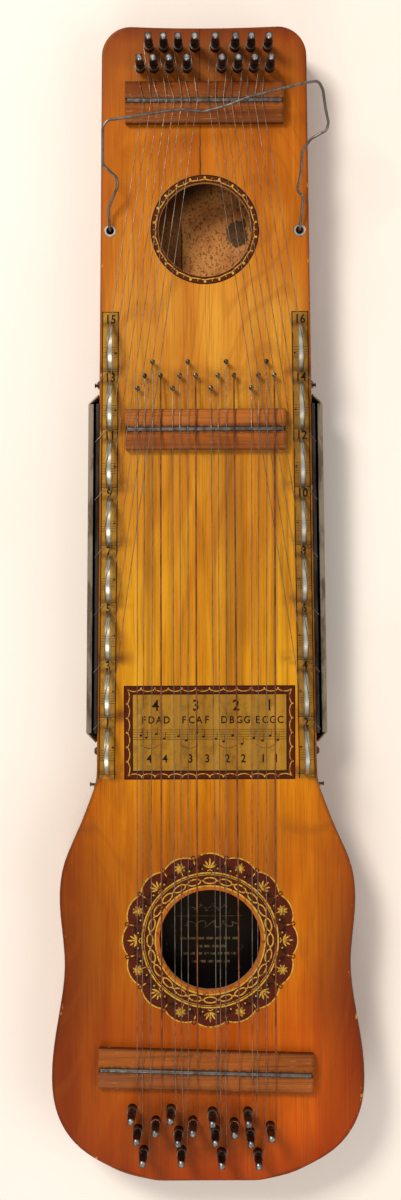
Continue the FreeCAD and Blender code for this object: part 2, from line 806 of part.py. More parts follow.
def nail(height, depth, head_diameter, head_height):
    """A nail along +Z with a domed head; z = 0 is the wood's face."""
    shank = size("hitch_diameter") / 2
    head = head_diameter / 2
    profile = [(0, -depth), (shank * 0.4, -depth), (shank, -depth + 2 * shank),
               (shank, height - head_height), (head * 0.85, height - head_height),
               (head, height - head_height * 0.6), (head * 0.8, height - head_height * 0.2),
               (head * 0.3, height), (0, height)]
    points = [Vector(radius, 0, along) for radius, along in profile]
    section = Part.Face(Part.makePolygon(points + points[:1]))
    return section.revolve(Vector(0, 0, 0), Vector(0, 0, 1), 360)


def make_chord_hitch_pins():
    """Sixteen small round-headed pins that hold the chord strings' loops."""
    head = size("hitch_head_diameter")
    pins = []
    for _, _, (x, y), _, _ in chord_strings():
        pin = nail(size("hitch_height"), size("hitch_depth"), head, head / 2)
        pin.translate(Vector(x, y, board_top()))
        pins.append(pin)
    feature = doc.addObject("Part::Feature", "chord_hitch_pins")
    feature.Shape = Part.makeCompound(pins)
    keep(feature, "chord_hitch_pins")


def side_hitch_y(number):
    """Along the side, each melody string ends a little below its hoop."""
    return guide_y(number) - size("guide_height") - size("string_tail_run")


def make_side_hitch_pins():
    """Sixteen nails in the sides, behind the guards, for the melody strings' ends."""
    head = size("hitch_head_diameter")
    pins = []
    for number in sorted(HEAD_PINS):
        side = side_of(number)
        pin = nail(size("side_hitch_height"), size("side_hitch_depth"), head,
                   size("side_hitch_head"))
        place = on_side(side, side_hitch_y(number), board_top() - size("side_hitch_drop"))
        place.Rotation = place.Rotation * FreeCAD.Rotation(Vector(0, 0, 1), Vector(side, 0, 0))
        pin.Placement = place
        pins.append(pin)
    feature = doc.addObject("Part::Feature", "melody_hitch_pins")
    feature.Shape = Part.makeCompound(pins)
    keep(feature, "melody_hitch_pins")


def make_eyelets():
    """Two rolled eyelets in the soundboard."""
    bore, barrel = size("eyelet_bore") / 2, size("eyelet_barrel") / 2
    flange = size("eyelet_flange") / 2
    deep = size("soundboard_thick") + 0.8
    profile = [(bore, -deep), (barrel - 0.1, -deep), (barrel, -deep + 0.3), (barrel, 0.0),
               (flange, 0.0), (flange, 0.3), (flange - 0.5, 0.8), (bore + 0.4, 0.8), (bore, 0.3)]
    eyelets = []
    for side in (-1, 1):
        points = [Vector(radius, 0, along) for radius, along in profile]
        section = Part.Face(Part.makePolygon(points + points[:1]))
        eyelet = section.revolve(Vector(0, 0, 0), Vector(0, 0, 1), 360)
        eyelet.translate(Vector(side * size("eyelet_x"), head_end("eyelet_from_head"), board_top()))
        eyelets.append(eyelet)
    feature = doc.addObject("Part::Feature", "eyelets")
    feature.Shape = Part.makeCompound(eyelets)
    keep(feature, "eyelets")


# ---------------------------------------------------------------- strings and wire

def rounded_path(points, radius, share=0.45):
    """Straight runs joined by tangent arcs, each as large as asked and as its runs allow."""
    edges = []
    start = points[0]
    for before, corner, after in zip(points, points[1:], points[2:]):
        into, out = corner - before, after - corner
        room = min(into.Length, out.Length) * share
        into.normalize()
        out.normalize()
        half_turn = into.getAngle(out) / 2
        reach = min(radius * math.tan(half_turn), room)
        arc_radius = reach / math.tan(half_turn)
        enter, leave = corner - into * reach, corner + out * reach
        middle_way = (out - into).normalize()
        middle = corner + middle_way * (arc_radius / math.cos(half_turn) - arc_radius)
        edges.append(Part.LineSegment(start, enter).toShape())
        edges.append(Part.Arc(enter, middle, leave).toShape())
        start = leave
    edges.append(Part.LineSegment(start, points[-1]).toShape())
    return Part.Wire(edges)


def tube(path, radius):
    """A round solid swept along a path; its volume is checked."""
    first = path.Edges[0]
    along = first.tangentAt(first.FirstParameter)
    ring = Part.Wire(Part.makeCircle(radius, first.Vertexes[0].Point, along))
    solid = path.makePipeShell([ring], True, False)
    expected = math.pi * radius ** 2 * path.Length
    if abs(solid.Volume / expected - 1) > 0.02:
        raise RuntimeError("a tube's volume is wrong")
    return solid


def coil(centre, inner, thickness, length, axis=Vector(0, 0, 1)):
    """The outer shape of a wire's turns round a pin."""
    outside = Part.makeCylinder(inner + thickness, length, centre, axis)
    return outside.cut(Part.makeCylinder(inner, length, centre, axis))


def pin_coil(place, string_diameter, height, leave_x):
    """The turns round a tuning pin, and the point beside them where the string leaves."""
    clear = size("string_clearance")
    inner = size("pin_diameter") / 2 + clear
    centre = Vector(place[0], place[1], height)
    turns = coil(centre, inner, string_diameter, size("coil_length"))
    reach = inner + 1.5 * string_diameter + clear
    start = centre + Vector(leave_x * reach, 0, string_diameter / 2)
    return turns, start


def melody_route(number, head_rod):
    """A melody string from its pin over the head rod and its hoop to its side hitch pin."""
    side = side_of(number)
    radius = size("melody_diameter") / 2
    clear = size("string_clearance")
    order_from_middle = (number - 1) // 2
    rod_x = size("melody_rod_x") + side * (size("melody_rod_gap") / 2
                                           + size("melody_rod_pitch") * order_from_middle)
    top = board_top()
    turns, start = pin_coil(head_pin_place(number), 2 * radius, top + size("coil_height"), -1)
    hoop_y = guide_y(number)
    edge_x = guide_x(number) + side * size("guide_width") / 2
    crest = top + size("guide_height") + radius + clear
    beyond = side * (2 * radius + clear)
    past_y = hoop_y - 0.12 * size("guide_height")
    foot_y = hoop_y - size("guide_height")
    end_y = side_hitch_y(number)
    rail_end = abs(end_y - size("guard_y")) > size("guard_wall_length") / 2
    ledge = 0.0 if rail_end else size("rail_thick")
    proud = 0.0 if rail_end else size("rail_proud")
    corner_x = side * (side_x(end_y) + ledge + 2 * radius)
    hitch_z = top - size("side_hitch_drop") + size("hitch_diameter") / 2 + radius + clear
    points = [
        start,
        over_rod(head_rod, rod_x, radius),
        Vector(edge_x, past_y, crest),
        Vector(edge_x + beyond, past_y - 1.2, crest - 0.1),
        Vector(edge_x + 1.4 * beyond, foot_y + 1.0, top + 1.2),
        Vector(corner_x, end_y, top + proud + 2 * radius),
        Vector(corner_x, end_y, hitch_z),
    ]
    return turns, points


def make_melody_strings(head_rod):
    strings = []
    for number in sorted(HEAD_PINS):
        turns, points = melody_route(number, head_rod)
        strings += [turns, tube(rounded_path(points, 0.8), size("melody_diameter") / 2)]
    feature = doc.addObject("Part::Feature", "melody_strings")
    feature.Shape = Part.makeCompound(strings)
    keep(feature, "melody_strings")


def hitch_loop(hitch, diameter):
    """A string's loop round its hitch pin, and the point beside it where the string starts."""
    clear = size("string_clearance")
    inner = size("hitch_diameter") / 2 + clear
    centre = Vector(hitch[0], hitch[1], board_top() + size("loop_height"))
    loop = coil(centre, inner, diameter, diameter)
    start = centre + Vector(0, -(inner + diameter + clear), diameter / 2)
    return loop, start


def chord_points(index, hitch, rod_x, place, rods):
    """Loop, coil and route of one chord string."""
    core = size("bass_core_diameter") if index == BASS else size("chord_diameter")
    width = size("bass_diameter") if index == BASS else core
    loop, start = hitch_loop(hitch, core)
    turns, end = pin_coil(place, core, board_top() + size("coil_height"), 1)
    middle = over_rod(rods["middle"], hitch[0], width / 2)
    tail = over_rod(rods["tail"], rod_x, core / 2)
    return loop, turns, [start, middle, tail, end]


def make_chord_strings(rods):
    strings = []
    for _, index, hitch, rod_x, place in chord_strings():
        if index != BASS:
            loop, turns, points = chord_points(index, hitch, rod_x, place, rods)
            strings += [loop, turns, tube(rounded_path(points, 3.0), size("chord_diameter") / 2)]
    feature = doc.addObject("Part::Feature", "chord_strings")
    feature.Shape = Part.makeCompound(strings)
    keep(feature, "chord_strings")


def make_bass_strings(rods):
    """Wound strings: the winding stops short of the tail bridge, where the core runs on."""
    core, wound = size("bass_core_diameter") / 2, size("bass_diameter") / 2
    strings = []
    for _, index, hitch, rod_x, place in chord_strings():
        if index == BASS:
            loop, turns, points = chord_points(index, hitch, rod_x, place, rods)
            start, middle, tail, end = points
            down = (tail - middle).normalize()
            bare = tail - down * size("bass_bare_length")
            winding = tube(rounded_path([start, middle, bare], 3.0), wound)
            bare_core = tube(rounded_path([bare, tail, end], 3.0), core)
            strings += [loop, turns, winding.fuse(bare_core)]
    feature = doc.addObject("Part::Feature", "bass_strings")
    feature.Shape = Part.makeCompound(strings)
    keep(feature, "bass_strings")


def make_music_wire():
    """A loose bent wire whose two ends stand in the eyelets."""
    top = board_top()
    deep = top - size("wire_end_depth")
    ends = [Vector(side * size("eyelet_x"), head_end("eyelet_from_head"), deep) for side in (1, -1)]
    risers = [Vector(end.x, end.y, top + 3.0) for end in ends]
    route = [Vector(x, ends[0].y + past, top + z) for x, past, z in WIRE_ROUTE]
    points = [ends[0], risers[0]] + route + [risers[1], ends[1]]
    feature = doc.addObject("Part::Feature", "music_wire")
    feature.Shape = tube(rounded_path(points, size("wire_bend_radius")), size("wire_diameter") / 2)
    keep(feature, "music_wire")


# ---------------------------------------------------------------- build

make_back_board()
make_soundboard()
make_rims()
make_blocks()
head_rod = make_bridge("head_bridge", "head_bridge_height", "head_bridge_length", "0",
                       "Sizes.body_length / 2 - Sizes.head_bridge_from_head")
middle_rod = make_bridge("middle_bridge", "middle_bridge_height", "middle_bridge_length", "0",
                         "Sizes.middle_bridge_y")
tail_rod = make_bridge("tail_bridge", "tail_bridge_height", "tail_bridge_length",
                       "Sizes.tail_bridge_x", "Sizes.tail_bridge_from_tail - Sizes.body_length / 2",
                       "tail_bridge_turn")
for pin_name, (pin_x, pin_y) in tuning_pin_places().items():
    make_tuning_pin(pin_name, pin_x, pin_y)
for side_name, sign in (("left", -1), ("right", 1)):
    make_guides(f"bow_guides_{side_name}", sign)
    make_guard(f"side_guard_{side_name}", sign)
    make_rail(f"hitch_rail_{side_name}", sign)
make_screws()
make_chord_hitch_pins()
make_side_hitch_pins()
make_eyelets()
make_melody_strings(head_rod)
make_chord_strings({"middle": middle_rod, "tail": tail_rod})
make_bass_strings({"middle": middle_rod, "tail": tail_rod})
make_music_wire()

doc.recompute()
for item in doc.Objects:
    if "Invalid" in item.State or "Error" in item.State:
        raise RuntimeError(f"{item.Label} failed: {item.State}")
for label, feature in nodes.items():
    if feature.Shape.isNull() or not feature.Shape.isValid():
        raise RuntimeError(f"{label} has no valid shape")

os.makedirs("parts", exist_ok=True)
for label, feature in nodes.items():
    feature.Shape.exportStep(f"parts/{label}.step")
print(len(nodes), "nodes written")
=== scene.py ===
# %% [markdown]
# # A chorded zither, looked at from above
# The instrument is a flat wooden box with thirty-two strings. The wood, pins, bridges, guides
# and strings arrive as finished shapes, the frame. This lesson gives each of them its finish,
# and adds what is printed on the wood, because print is too thin to be a part of its own.

# %% Load the frame
import math
import bpy
from mathutils import Matrix, Vector


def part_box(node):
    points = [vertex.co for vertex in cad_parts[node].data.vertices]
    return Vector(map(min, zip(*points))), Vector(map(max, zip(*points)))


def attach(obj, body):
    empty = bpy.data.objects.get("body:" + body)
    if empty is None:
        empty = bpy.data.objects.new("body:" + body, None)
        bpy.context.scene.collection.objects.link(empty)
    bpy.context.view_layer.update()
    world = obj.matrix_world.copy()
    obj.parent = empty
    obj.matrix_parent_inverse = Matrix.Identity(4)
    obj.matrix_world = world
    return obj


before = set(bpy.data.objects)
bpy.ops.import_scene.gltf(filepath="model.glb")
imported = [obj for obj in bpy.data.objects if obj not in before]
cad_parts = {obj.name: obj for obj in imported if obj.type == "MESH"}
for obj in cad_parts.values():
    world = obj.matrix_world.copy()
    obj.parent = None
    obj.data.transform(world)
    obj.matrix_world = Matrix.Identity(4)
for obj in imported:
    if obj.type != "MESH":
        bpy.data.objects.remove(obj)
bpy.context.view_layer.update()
MM = 0.001
print(len(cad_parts), "shapes arrived")

# %% [markdown]
# ## Where things are
# Places are read from the frame, so that the print stays on the wood if a part is changed.
# The soundboard's half width at any place along the body is wanted again and again, and it is
# measured from the board's own points, which never go out of date.

# %% Measure the soundboard
board_low, board_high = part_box("soundboard")
TOP = board_high.z
HEAD, TAIL = board_high.y, board_low.y
LENGTH = HEAD - TAIL
UPPER_HOLE = Vector((0.0, HEAD - 118.5 * MM))
LOWER_HOLE = Vector((1.5 * MM, TAIL + 147.0 * MM))
UPPER_RADIUS, LOWER_RADIUS = 27.5 * MM, 30.5 * MM
eyelet_low, eyelet_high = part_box("eyelets")
side_points = {}
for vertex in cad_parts["soundboard"].data.vertices:
    by_eyelets = eyelet_low.y - MM < vertex.co.y < eyelet_high.y + MM
    if vertex.co.x > 0 and not by_eyelets:
        along = round(vertex.co.y, 4)
        side_points[along] = max(side_points.get(along, 0.0), vertex.co.x)


def half_width(y):
    """Half width of the body at this place along it."""
    above = [(along, x) for along, x in side_points.items() if along >= y and x > 56 * MM]
    below = [(along, x) for along, x in side_points.items() if along <= y and x > 56 * MM]
    if not above or not below:
        return 0.0
    high, low = min(above), max(below)
    share = (y - low[0]) / max(high[0] - low[0], 1e-6)
    return low[1] + (high[1] - low[1]) * share


print("half width at the waist, mm", round(half_width(0.0) / MM, 1))

# %% [markdown]
# ## The camera
# The picture is a plain view from above, taken from about a metre away and tipped a little
# towards the tail, with a normal lens. A long thin body needs the lens measured on the tall
# side of the frame.

# %% Camera
bpy.ops.object.select_all(action="DESELECT")
EYE = Vector((-3.3, 45.6, 996.0)) * MM
TIP = math.radians(-2.3)
LEAN = -0.0041
bpy.ops.object.camera_add(location=EYE, rotation=(TIP, 0.0, LEAN))
camera = bpy.context.object
camera.name = "studio_camera"
camera.data.sensor_fit = "VERTICAL"
camera.data.sensor_height = 36.0
camera.data.lens = 48.27
bpy.context.scene.camera = camera
bpy.context.scene.view_settings.view_transform = "Standard"
print("camera", round(EYE.z, 3), "m up")

# %% [markdown]
# ## Floor and light
# A plain pale floor with soft light from large lamps. Metal shows whatever stands round it,
# so the surroundings are kept a little darker than the lamps: the hoops and pins then have
# dark sides and one bright line. The main lamp stands at the head end on the left, and a
# broad weaker one opposite fills the shadows.

# %% Floor
bpy.ops.object.select_all(action="DESELECT")
bpy.ops.mesh.primitive_plane_add(size=6.0, location=(0.0, 0.0, -0.4 * MM))
floor = bpy.context.object
floor.name = "studio_floor"


# %% Lamps
def lamp(name, place, target, size, power, tint):
    """A soft square lamp that points at a target."""
    bpy.ops.object.select_all(action="DESELECT")
    aim = Vector(target) - Vector(place)
    bpy.ops.object.light_add(type="AREA", location=place)
    made = bpy.context.object
    made.name = name
    made.rotation_euler = aim.to_track_quat("-Z", "Y").to_euler()
    made.data.size = size
    made.data.energy = power
    made.data.color = tint


lamp("key_lamp", (-0.9, 1.1, 1.7), (0.0, 0.0, 0.0), 0.6, 36.0, (1.0, 0.97, 0.93))
lamp("fill_lamp", (1.3, -0.6, 1.6), (0.0, 0.0, 0.0), 1.4, 11.0, (0.98, 0.98, 1.0))
lamp("tail_lamp", (-0.5, -1.5, 1.3), (0.0, -0.2, 0.0), 1.0, 11.0, (1.0, 0.98, 0.96))
world = bpy.data.worlds.new("studio_air")
bpy.context.scene.world = world
world.use_nodes = True
air = world.node_tree.nodes["Background"]
air.inputs["Color"].default_value = (1.0, 0.985, 0.96, 1.0)
air.inputs["Strength"].default_value = 0.38
print("three lamps and the air round them")

# %% [markdown]
# ## Writing finishes as sums
# A finish is a network of nodes. One small class wraps an output and lets Python's own signs
# add the Math nodes, and another holds the material and adds any other node. A colour is
# written as it is seen, in the 0 to 255 way, and turned into light here.


# %% A value that can be used in sums
class Value:
    """An output of a node; sums with it add Math nodes."""

    def __init__(self, finish, socket):
        self.finish = finish
        self.socket = socket

    def maths(self, operation, *values):
        return self.finish.node("ShaderNodeMath", {"operation": operation}, values)

    def __add__(self, other):
        return self.maths("ADD", self, other)

    def __radd__(self, other):
        return self.maths("ADD", other, self)

    def __sub__(self, other):
        return self.maths("SUBTRACT", self, other)

    def __rsub__(self, other):
        return self.maths("SUBTRACT", other, self)

    def __mul__(self, other):
        return self.maths("MULTIPLY", self, other)

    def __rmul__(self, other):
        return self.maths("MULTIPLY", other, self)

    def __truediv__(self, other):
        return self.maths("DIVIDE", self, other)

    def __abs__(self):
        return self.maths("ABSOLUTE", self)

    def clamped(self):
        return self.finish.between(self, 0.0, 1.0, smooth=False)

    def most(self, other):
        return self.maths("MAXIMUM", self, other)

    def least(self, other):
        return self.maths("MINIMUM", self, other)


def light(colour):
    """A seen colour, 0 to 255, as the light that makes it."""
    parts = [part / 255 for part in colour]
    return tuple(p / 12.92 if p < 0.04 else ((p + 0.055) / 1.055) ** 2.4 for p in parts) + (1.0,)


print("sums are ready")


# %% A finish
class Finish:
    """A material and the nodes that are added to it."""

    def __init__(self, name, **constants):
        self.material = bpy.data.materials.new(name)
        self.material.use_nodes = True
        self.nodes = self.material.node_tree.nodes
        self.shader = self.nodes["Principled BSDF"]
        self.place = self.node("ShaderNodeTexCoord", {}, {}, "Object")
        self.x = self.node("ShaderNodeSeparateXYZ", {}, [self.place], "X")
        self.y = self.node("ShaderNodeSeparateXYZ", {}, [self.place], "Y")
        self.z = self.node("ShaderNodeSeparateXYZ", {}, [self.place], "Z")
        for name, value in constants.items():
            self.give(name, value)

    def node(self, kind, settings, values, out=0):
        """Add a node: its settings first, then its inputs' values or links."""
        made = self.nodes.new(kind)
        for name, value in settings.items():
            if name == "stops":
                self.set_stops(made.color_ramp, value)
            else:
                setattr(made, name, value)
        pairs = values.items() if isinstance(values, dict) else enumerate(values)
        for name, value in pairs:
            if isinstance(value, Value):
                self.material.node_tree.links.new(value.socket, made.inputs[name])
            else:
                made.inputs[name].default_value = value
        return Value(self, made.outputs[out])

    def set_stops(self, ramp, stops):
        while len(ramp.elements) < len(stops):
            ramp.elements.new(1.0)
        for element, (place, colour) in zip(ramp.elements, stops):
            element.position = place
            element.color = colour

    def give(self, name, value):
        """Set or link one of the shader's own inputs."""
        socket = self.shader.inputs[name.replace("_", " ")]
        if isinstance(value, Value):
            self.material.node_tree.links.new(value.socket, socket)
        else:
            socket.default_value = value

    def between(self, value, low, high, start=0.0, end=1.0, smooth=True):
        """start below low, end above high, and an easy way between."""
        kind = "SMOOTHSTEP" if smooth else "LINEAR"
        settings = {"interpolation_type": kind}
        return self.node("ShaderNodeMapRange", settings, [value, low, high, start, end])

    def stretched(self, sizes, shift=(0.0, 0.0, 0.0)):
        """The place, shifted and then multiplied along each axis."""
        moved = self.node("ShaderNodeVectorMath", {"operation": "ADD"}, [self.place, shift])
        return self.node("ShaderNodeVectorMath", {"operation": "MULTIPLY"}, [moved, sizes])

    def noise(self, sizes, shift=(0.0, 0.0, 0.0), detail=3.0, roughness=0.5, distortion=0.0):
        """Cloudy noise, about 0.3 to 0.7, with so many clouds a metre along each axis."""
        values = {"Vector": self.stretched(sizes, shift), "Scale": 1.0, "Detail": detail,
                  "Roughness": roughness, "Distortion": distortion}
        return self.node("ShaderNodeTexNoise", {}, values, "Fac")

    def mix(self, share, first, second, blend="MIX"):
        """Two colours mixed."""
        settings = {"data_type": "RGBA", "blend_type": blend}
        return self.node("ShaderNodeMix", settings, {0: share, 6: first, 7: second}, 2)

    def tint(self, share, colour):
        """Lay a seen colour over the colour so far."""
        self.colour = self.mix(share, self.colour, light(colour))

    def ramp(self, value, stops):
        """A colour for every value."""
        return self.node("ShaderNodeValToRGB", {"stops": stops}, [value])

    def bump(self, height, distance, strength):
        """Raise the surface by height times distance, in metres."""
        values = {"Strength": strength, "Distance": distance, "Height": height}
        self.give("Normal", self.node("ShaderNodeBump", {}, values, "Normal"))


print("finishes are ready")

# %% [markdown]
# ## The floor's finish
# Pale paper, warm, with almost no texture. A flat white would look like a hole in the
# picture, so it keeps a faint cloud.

# %% Floor paper
paper = Finish("studio_paper", Roughness=0.9, Specular_IOR_Level=0.1)
cloud = paper.between(paper.noise((3.0, 3.0, 3.0)), 0.3, 0.7)
paper.give("Base Color", paper.mix(cloud, light((243, 233, 222)), light((238, 226, 213))))
floor.data.materials.append(paper.material)
print("floor is papered")

# %% [markdown]
# ## Varnished wood
# All the outer wood is one timber, stained orange brown and varnished, with fine straight
# grain along the body. The grain is noise drawn out along one axis: a fast one for the
# pores, a slower one for the growth rings. Both the rings and the pores lean the stain
# towards a lighter or a darker colour and lift the varnish a few hundredths of a millimetre.


# %% Grain
def grain(finish, along="y", seed=0.0):
    """Fine pores and slow growth rings of wood that runs along an axis, both 0 to 1."""
    def sizes(across, down):
        return {"y": (across, down, across), "x": (down, across, across)}[along]
    shift = (0.31 + seed, 0.17 - seed, 0.23 + seed)
    pores = finish.noise(sizes(1400.0, 22.0), shift, detail=4.0, roughness=0.6)
    rings = finish.noise(sizes(115.0, 2.2), shift, detail=5.0, roughness=0.62, distortion=0.5)
    return finish.between(pores, 0.32, 0.68), finish.between(rings, 0.3, 0.7)


print("grain is ready")

# %% [markdown]
# ## The soundboard's stain
# The stain is lightest in the middle of the neck and gets redder and darker towards the head
# and towards the tail, and round the rim of the lower half it is nearly mahogany, sprayed on
# as a shaded edge. So the base colour is one ramp along the body, and a second ramp for the
# rim is mixed in by the distance from the edge.

# %% Soundboard colours along the body
AMBER = (1.0, 0.7, 0.34, 1.0)
board = Finish("soundboard_wood", Specular_IOR_Level=0.3, Specular_Tint=AMBER,
               Coat_Weight=0.02, Coat_Roughness=0.16)


def along_body(finish, stops):
    """A ramp along the body; each stop is a place in millimetres and a seen colour."""
    places = [((place * MM - TAIL) / LENGTH, light(colour)) for place, colour in stops]
    return finish.ramp((finish.y - TAIL) / LENGTH, places)


middle_stain = along_body(board, (
    (-344, (228, 100, 5)), (-300, (206, 95, 5)), (-250, (200, 95, 4)), (-200, (212, 122, 5)),
    (-150, (200, 114, 6)), (-100, (214, 134, 10)), (-40, (226, 161, 26)), (60, (216, 150, 34)),
    (130, (213, 148, 44)), (180, (212, 145, 48)), (215, (206, 130, 32)), (250, (198, 116, 18)),
    (285, (192, 106, 10)), (320, (172, 89, 12)), (344, (140, 56, 12))))
rim_stain = along_body(board, (
    (-344, (172, 60, 6)), (-285, (140, 47, 6)), (-237, (113, 36, 8)), (-190, (126, 52, 10)),
    (-150, (146, 62, 8)), (-110, (180, 92, 8)), (-40, (192, 112, 14)), (120, (190, 108, 24)),
    (200, (182, 90, 12)), (290, (164, 79, 10)), (344, (108, 38, 10))))
print("stain along the body is ready")

# %% [markdown]
# The distance from the edge needs the outline inside the finish. A ramp can hold any curve
# of up to 32 stops, so the half width is stored in its grey: one tenth of a metre is white.

# %% Distance from the edge
STATIONS = 24
WAIST = -90 * MM


def edge_distance(finish):
    """How far a place on the board is from the side, in metres."""
    places = [TAIL + (WAIST - TAIL) * step / (STATIONS - 1) for step in range(STATIONS)]
    stops = []
    for y in places + [0.0, 0.2, 0.32]:
        width = max(half_width(y), 30 * MM) * 10
        stops.append(((y - TAIL) / LENGTH, (width, width, width, 1.0)))
    stored = finish.ramp((finish.y - TAIL) / LENGTH, stops)
    grey = finish.node("ShaderNodeSeparateColor", {}, [stored])
    from_side = grey * 0.1 - abs(finish.x)
    from_ends = (finish.y - TAIL).least(HEAD - finish.y)
    return from_side.least(from_ends)


distance = edge_distance(board)
bout_share = board.between(board.y, -0.08, -0.17)
print("edge is known")

# %% [markdown]
# Now the pieces of the stain are put together. The shaded edge is wide on the lower half and
# narrow on the neck, and its inner border wanders with a slow noise, as sprayed stain does.
# The left side of the lower half is then darkened as painted shade.

# %% Soundboard stain, and painted shade on the left side
pores, rings = grain(board)
wander = board.noise((14.0, 6.0, 6.0), detail=2.0) - 0.5
reach = board.between(board.y, -0.09, -0.19, 11 * MM, 40 * MM)
shaded = 1.0 - board.between(distance + wander * 0.012, 0.0, reach)
shaded = shaded * (0.75 + 0.25 * bout_share)
stain = board.mix(shaded, middle_stain, rim_stain)
# Painted shade: the left side of the lower half is darkened, as if less light fell there.
left_side_shade = board.between(board.x, 80 * MM, -90 * MM) * bout_share
stain = board.mix(left_side_shade * 0.5, stain, light((118, 50, 8)))
flame = board.noise((30.0, 7.0, 5.0), (0.7, 0.2, 0.1), detail=3.0, distortion=1.6)
arch_lines = board.noise((9.0, 2.6, 1.0), (0.42, 0.31, 0.0), detail=1.5, distortion=0.4)
arch_lines = (arch_lines * 26.0).maths("SINE", arch_lines * 150.0)
arch_lines = board.between(arch_lines, 0.55, 1.0)
print("stain is mixed")

# %% [markdown]
# ## Marks of use, and painted shadow
# Dirt gathers where a cloth can't reach: in lanes under the strings and round the tuning pins
# and hitch pins. Beside the feet of the hoops the board is darkened as painted shadow of the
# feet. Each is a soft mask of its own, and the masks darken the stain together. A drying
# crack runs from the head bridge to the hole.

# %% Dirt under the strings
lanes = board.noise((150.0, 1.4, 1.0), (0.11, 0.05, 0.0), detail=2.0, roughness=0.4)
under_strings = board.between(abs(board.x), 46 * MM, 56 * MM, 1.0, 0.0)
under_strings *= board.between(board.y, -0.25, -0.17)
under_strings *= board.between(board.y, 0.135, 0.09)
lane_dirt = board.between(lanes, 0.5, 0.66) * under_strings
broad_lane = board.between(abs(board.x - 19 * MM), 1.5 * MM, 5 * MM, 1.0, 0.0)
broad_lane *= board.between(board.y, 0.13, 0.06) * under_strings


def patch(finish, x, y, reach_x, reach_y):
    """A soft round patch, 1 at its middle and 0 outside its reach."""
    across = (finish.x - x) / reach_x
    down = (finish.y - y) / reach_y
    return finish.between(across * across + down * down, 0.0, 1.0, 1.0, 0.0)


speckle = board.noise((240.0, 240.0, 60.0), detail=4.0, roughness=0.7)
pin_dirt = patch(board, 0.0, HEAD - 20 * MM, 60 * MM, 17 * MM)
pin_dirt = pin_dirt.most(patch(board, -4 * MM, TAIL + 33 * MM, 60 * MM, 26 * MM) * 0.85)
pin_dirt = pin_dirt.most(patch(board, -3 * MM, 135 * MM, 62 * MM, 14 * MM) * 0.6)
pin_dirt = pin_dirt * board.between(speckle, 0.2, 0.7, 0.35, 1.0)
print("lanes and patches are ready")

# %% Painted shadow beside the hoops, and the crack
PITCH = 34.25 * MM
FIRST_HOOP = 156.5 * MM
CELL_START = FIRST_HOOP + 21 * MM


def hoop_share(finish):
    """How far a place is from the start of its hoop's cell to the end, 0 to 1."""
    cells = (CELL_START - finish.y) / PITCH
    return cells.maths("FRACT", cells)


in_step = hoop_share(board)
# Painted shadow: the board is darkened beside the feet of each hoop, where the feet cast shade.
hoop_foot_shadow = 1.0 - board.between(abs(in_step - 0.98).least(in_step + 0.02), 0.0, 0.2)
hoop_foot_shadow *= board.between(abs(board.x), 40 * MM, 52 * MM)
hoop_foot_shadow *= board.between(board.y, 0.18, 0.165) * (1.0 - bout_share)
hoop_foot_shadow *= board.between(board.noise((60.0, 90.0, 1.0), detail=3.0), 0.35, 0.62)
crack_line = board.noise((0.0, 120.0, 0.0), detail=2.0) * 0.0012 - 3.2 * MM
crack_width = board.between(board.y, 0.285, 0.258, 0.16 * MM, 0.34 * MM)
crack = board.between(abs(board.x - crack_line) / crack_width, 0.7, 1.3, 1.0, 0.0)
crack *= board.between(board.y, 0.2555, 0.2575)
print("hoop dirt and crack are ready")

# %% [markdown]
# ## Putting the soundboard together
# The ring noise turns into warm and dark stripes and the pores into thin dark dashes. The dirt
# and the painted shadow beside the hoop feet are laid over both, then the crack, the worn edge
# with its chips and a few light scratches.
# The cut edges of the sound holes are bare wood, a pale line round each hole.

# %% Soundboard finish
stripe = board.mix(rings, light((205, 160, 118)), light((255, 250, 238)))
board.colour = board.mix(0.4, stain, stripe, "MULTIPLY")
flame_stripe = board.mix(board.between(flame, 0.36, 0.64), light((216, 176, 140)),
                         light((255, 255, 250)))
board.colour = board.mix(0.5, board.colour, flame_stripe, "MULTIPLY")
board.tint(arch_lines * 0.22, (140, 66, 12))
board.tint(board.between(pores, 0.0, 0.45, 0.3, 0.0), (92, 40, 14))
# The dirt masks and the painted shadow of the hoop feet darken the stain together.
dirt_and_shadow = (lane_dirt * 0.4).most(broad_lane * 0.34).most(pin_dirt * 0.62).most(hoop_foot_shadow * 0.7)
board.tint(dirt_and_shadow, (86, 40, 18))
hole_wall = board.between(board.z, TOP - 0.9 * MM, TOP - 0.3 * MM, 1.0, 0.0)
near_hole = board.between(distance, 20 * MM, 24 * MM)
board.tint(hole_wall * near_hole, (196, 142, 86))
board.tint(crack, (22, 9, 6))
edge_line = board.between(distance, 0.3 * MM, 2.2 * MM, 1.0, 0.0)
edge_line = edge_line * board.between(board.z, TOP - 2.0 * MM, TOP - 1.0 * MM)
board.tint(edge_line * 0.45, (70, 26, 8))
chips = board.noise((420.0, 160.0, 300.0), (0.6, 0.8, 0.1), detail=2.0)
chips = board.between(chips, 0.68, 0.72) * edge_line
board.tint(chips * 0.8, (226, 150, 60))
scratches = board.noise((900.0, 34.0, 1.0), (0.2, 0.9, 0.0), detail=2.0)
scratches = board.between(scratches, 0.7, 0.76)
scratches *= patch(board, -4 * MM, 176 * MM, 26 * MM, 40 * MM)
board.tint(scratches * 0.6, (240, 196, 110))
board.give("Base Color", board.colour)
board.give("Roughness", 0.36 + 0.12 * rings + 0.3 * dirt_and_shadow)
board.bump(0.3 * pores + 0.7 * rings - 3.0 * crack, 0.05 * MM, 0.6)
print("soundboard is stained")

# %% [markdown]
# ## Ribs, back and the wood inside
# The ribs carry the same dark stain as the rim. Their grain runs along the body too. The
# back is stained outside and bare inside, where the sound holes show it: pale dusty wood with
# specks, a sooty patch, a shaded corner and a crack. The blocks and braces are bare as well.


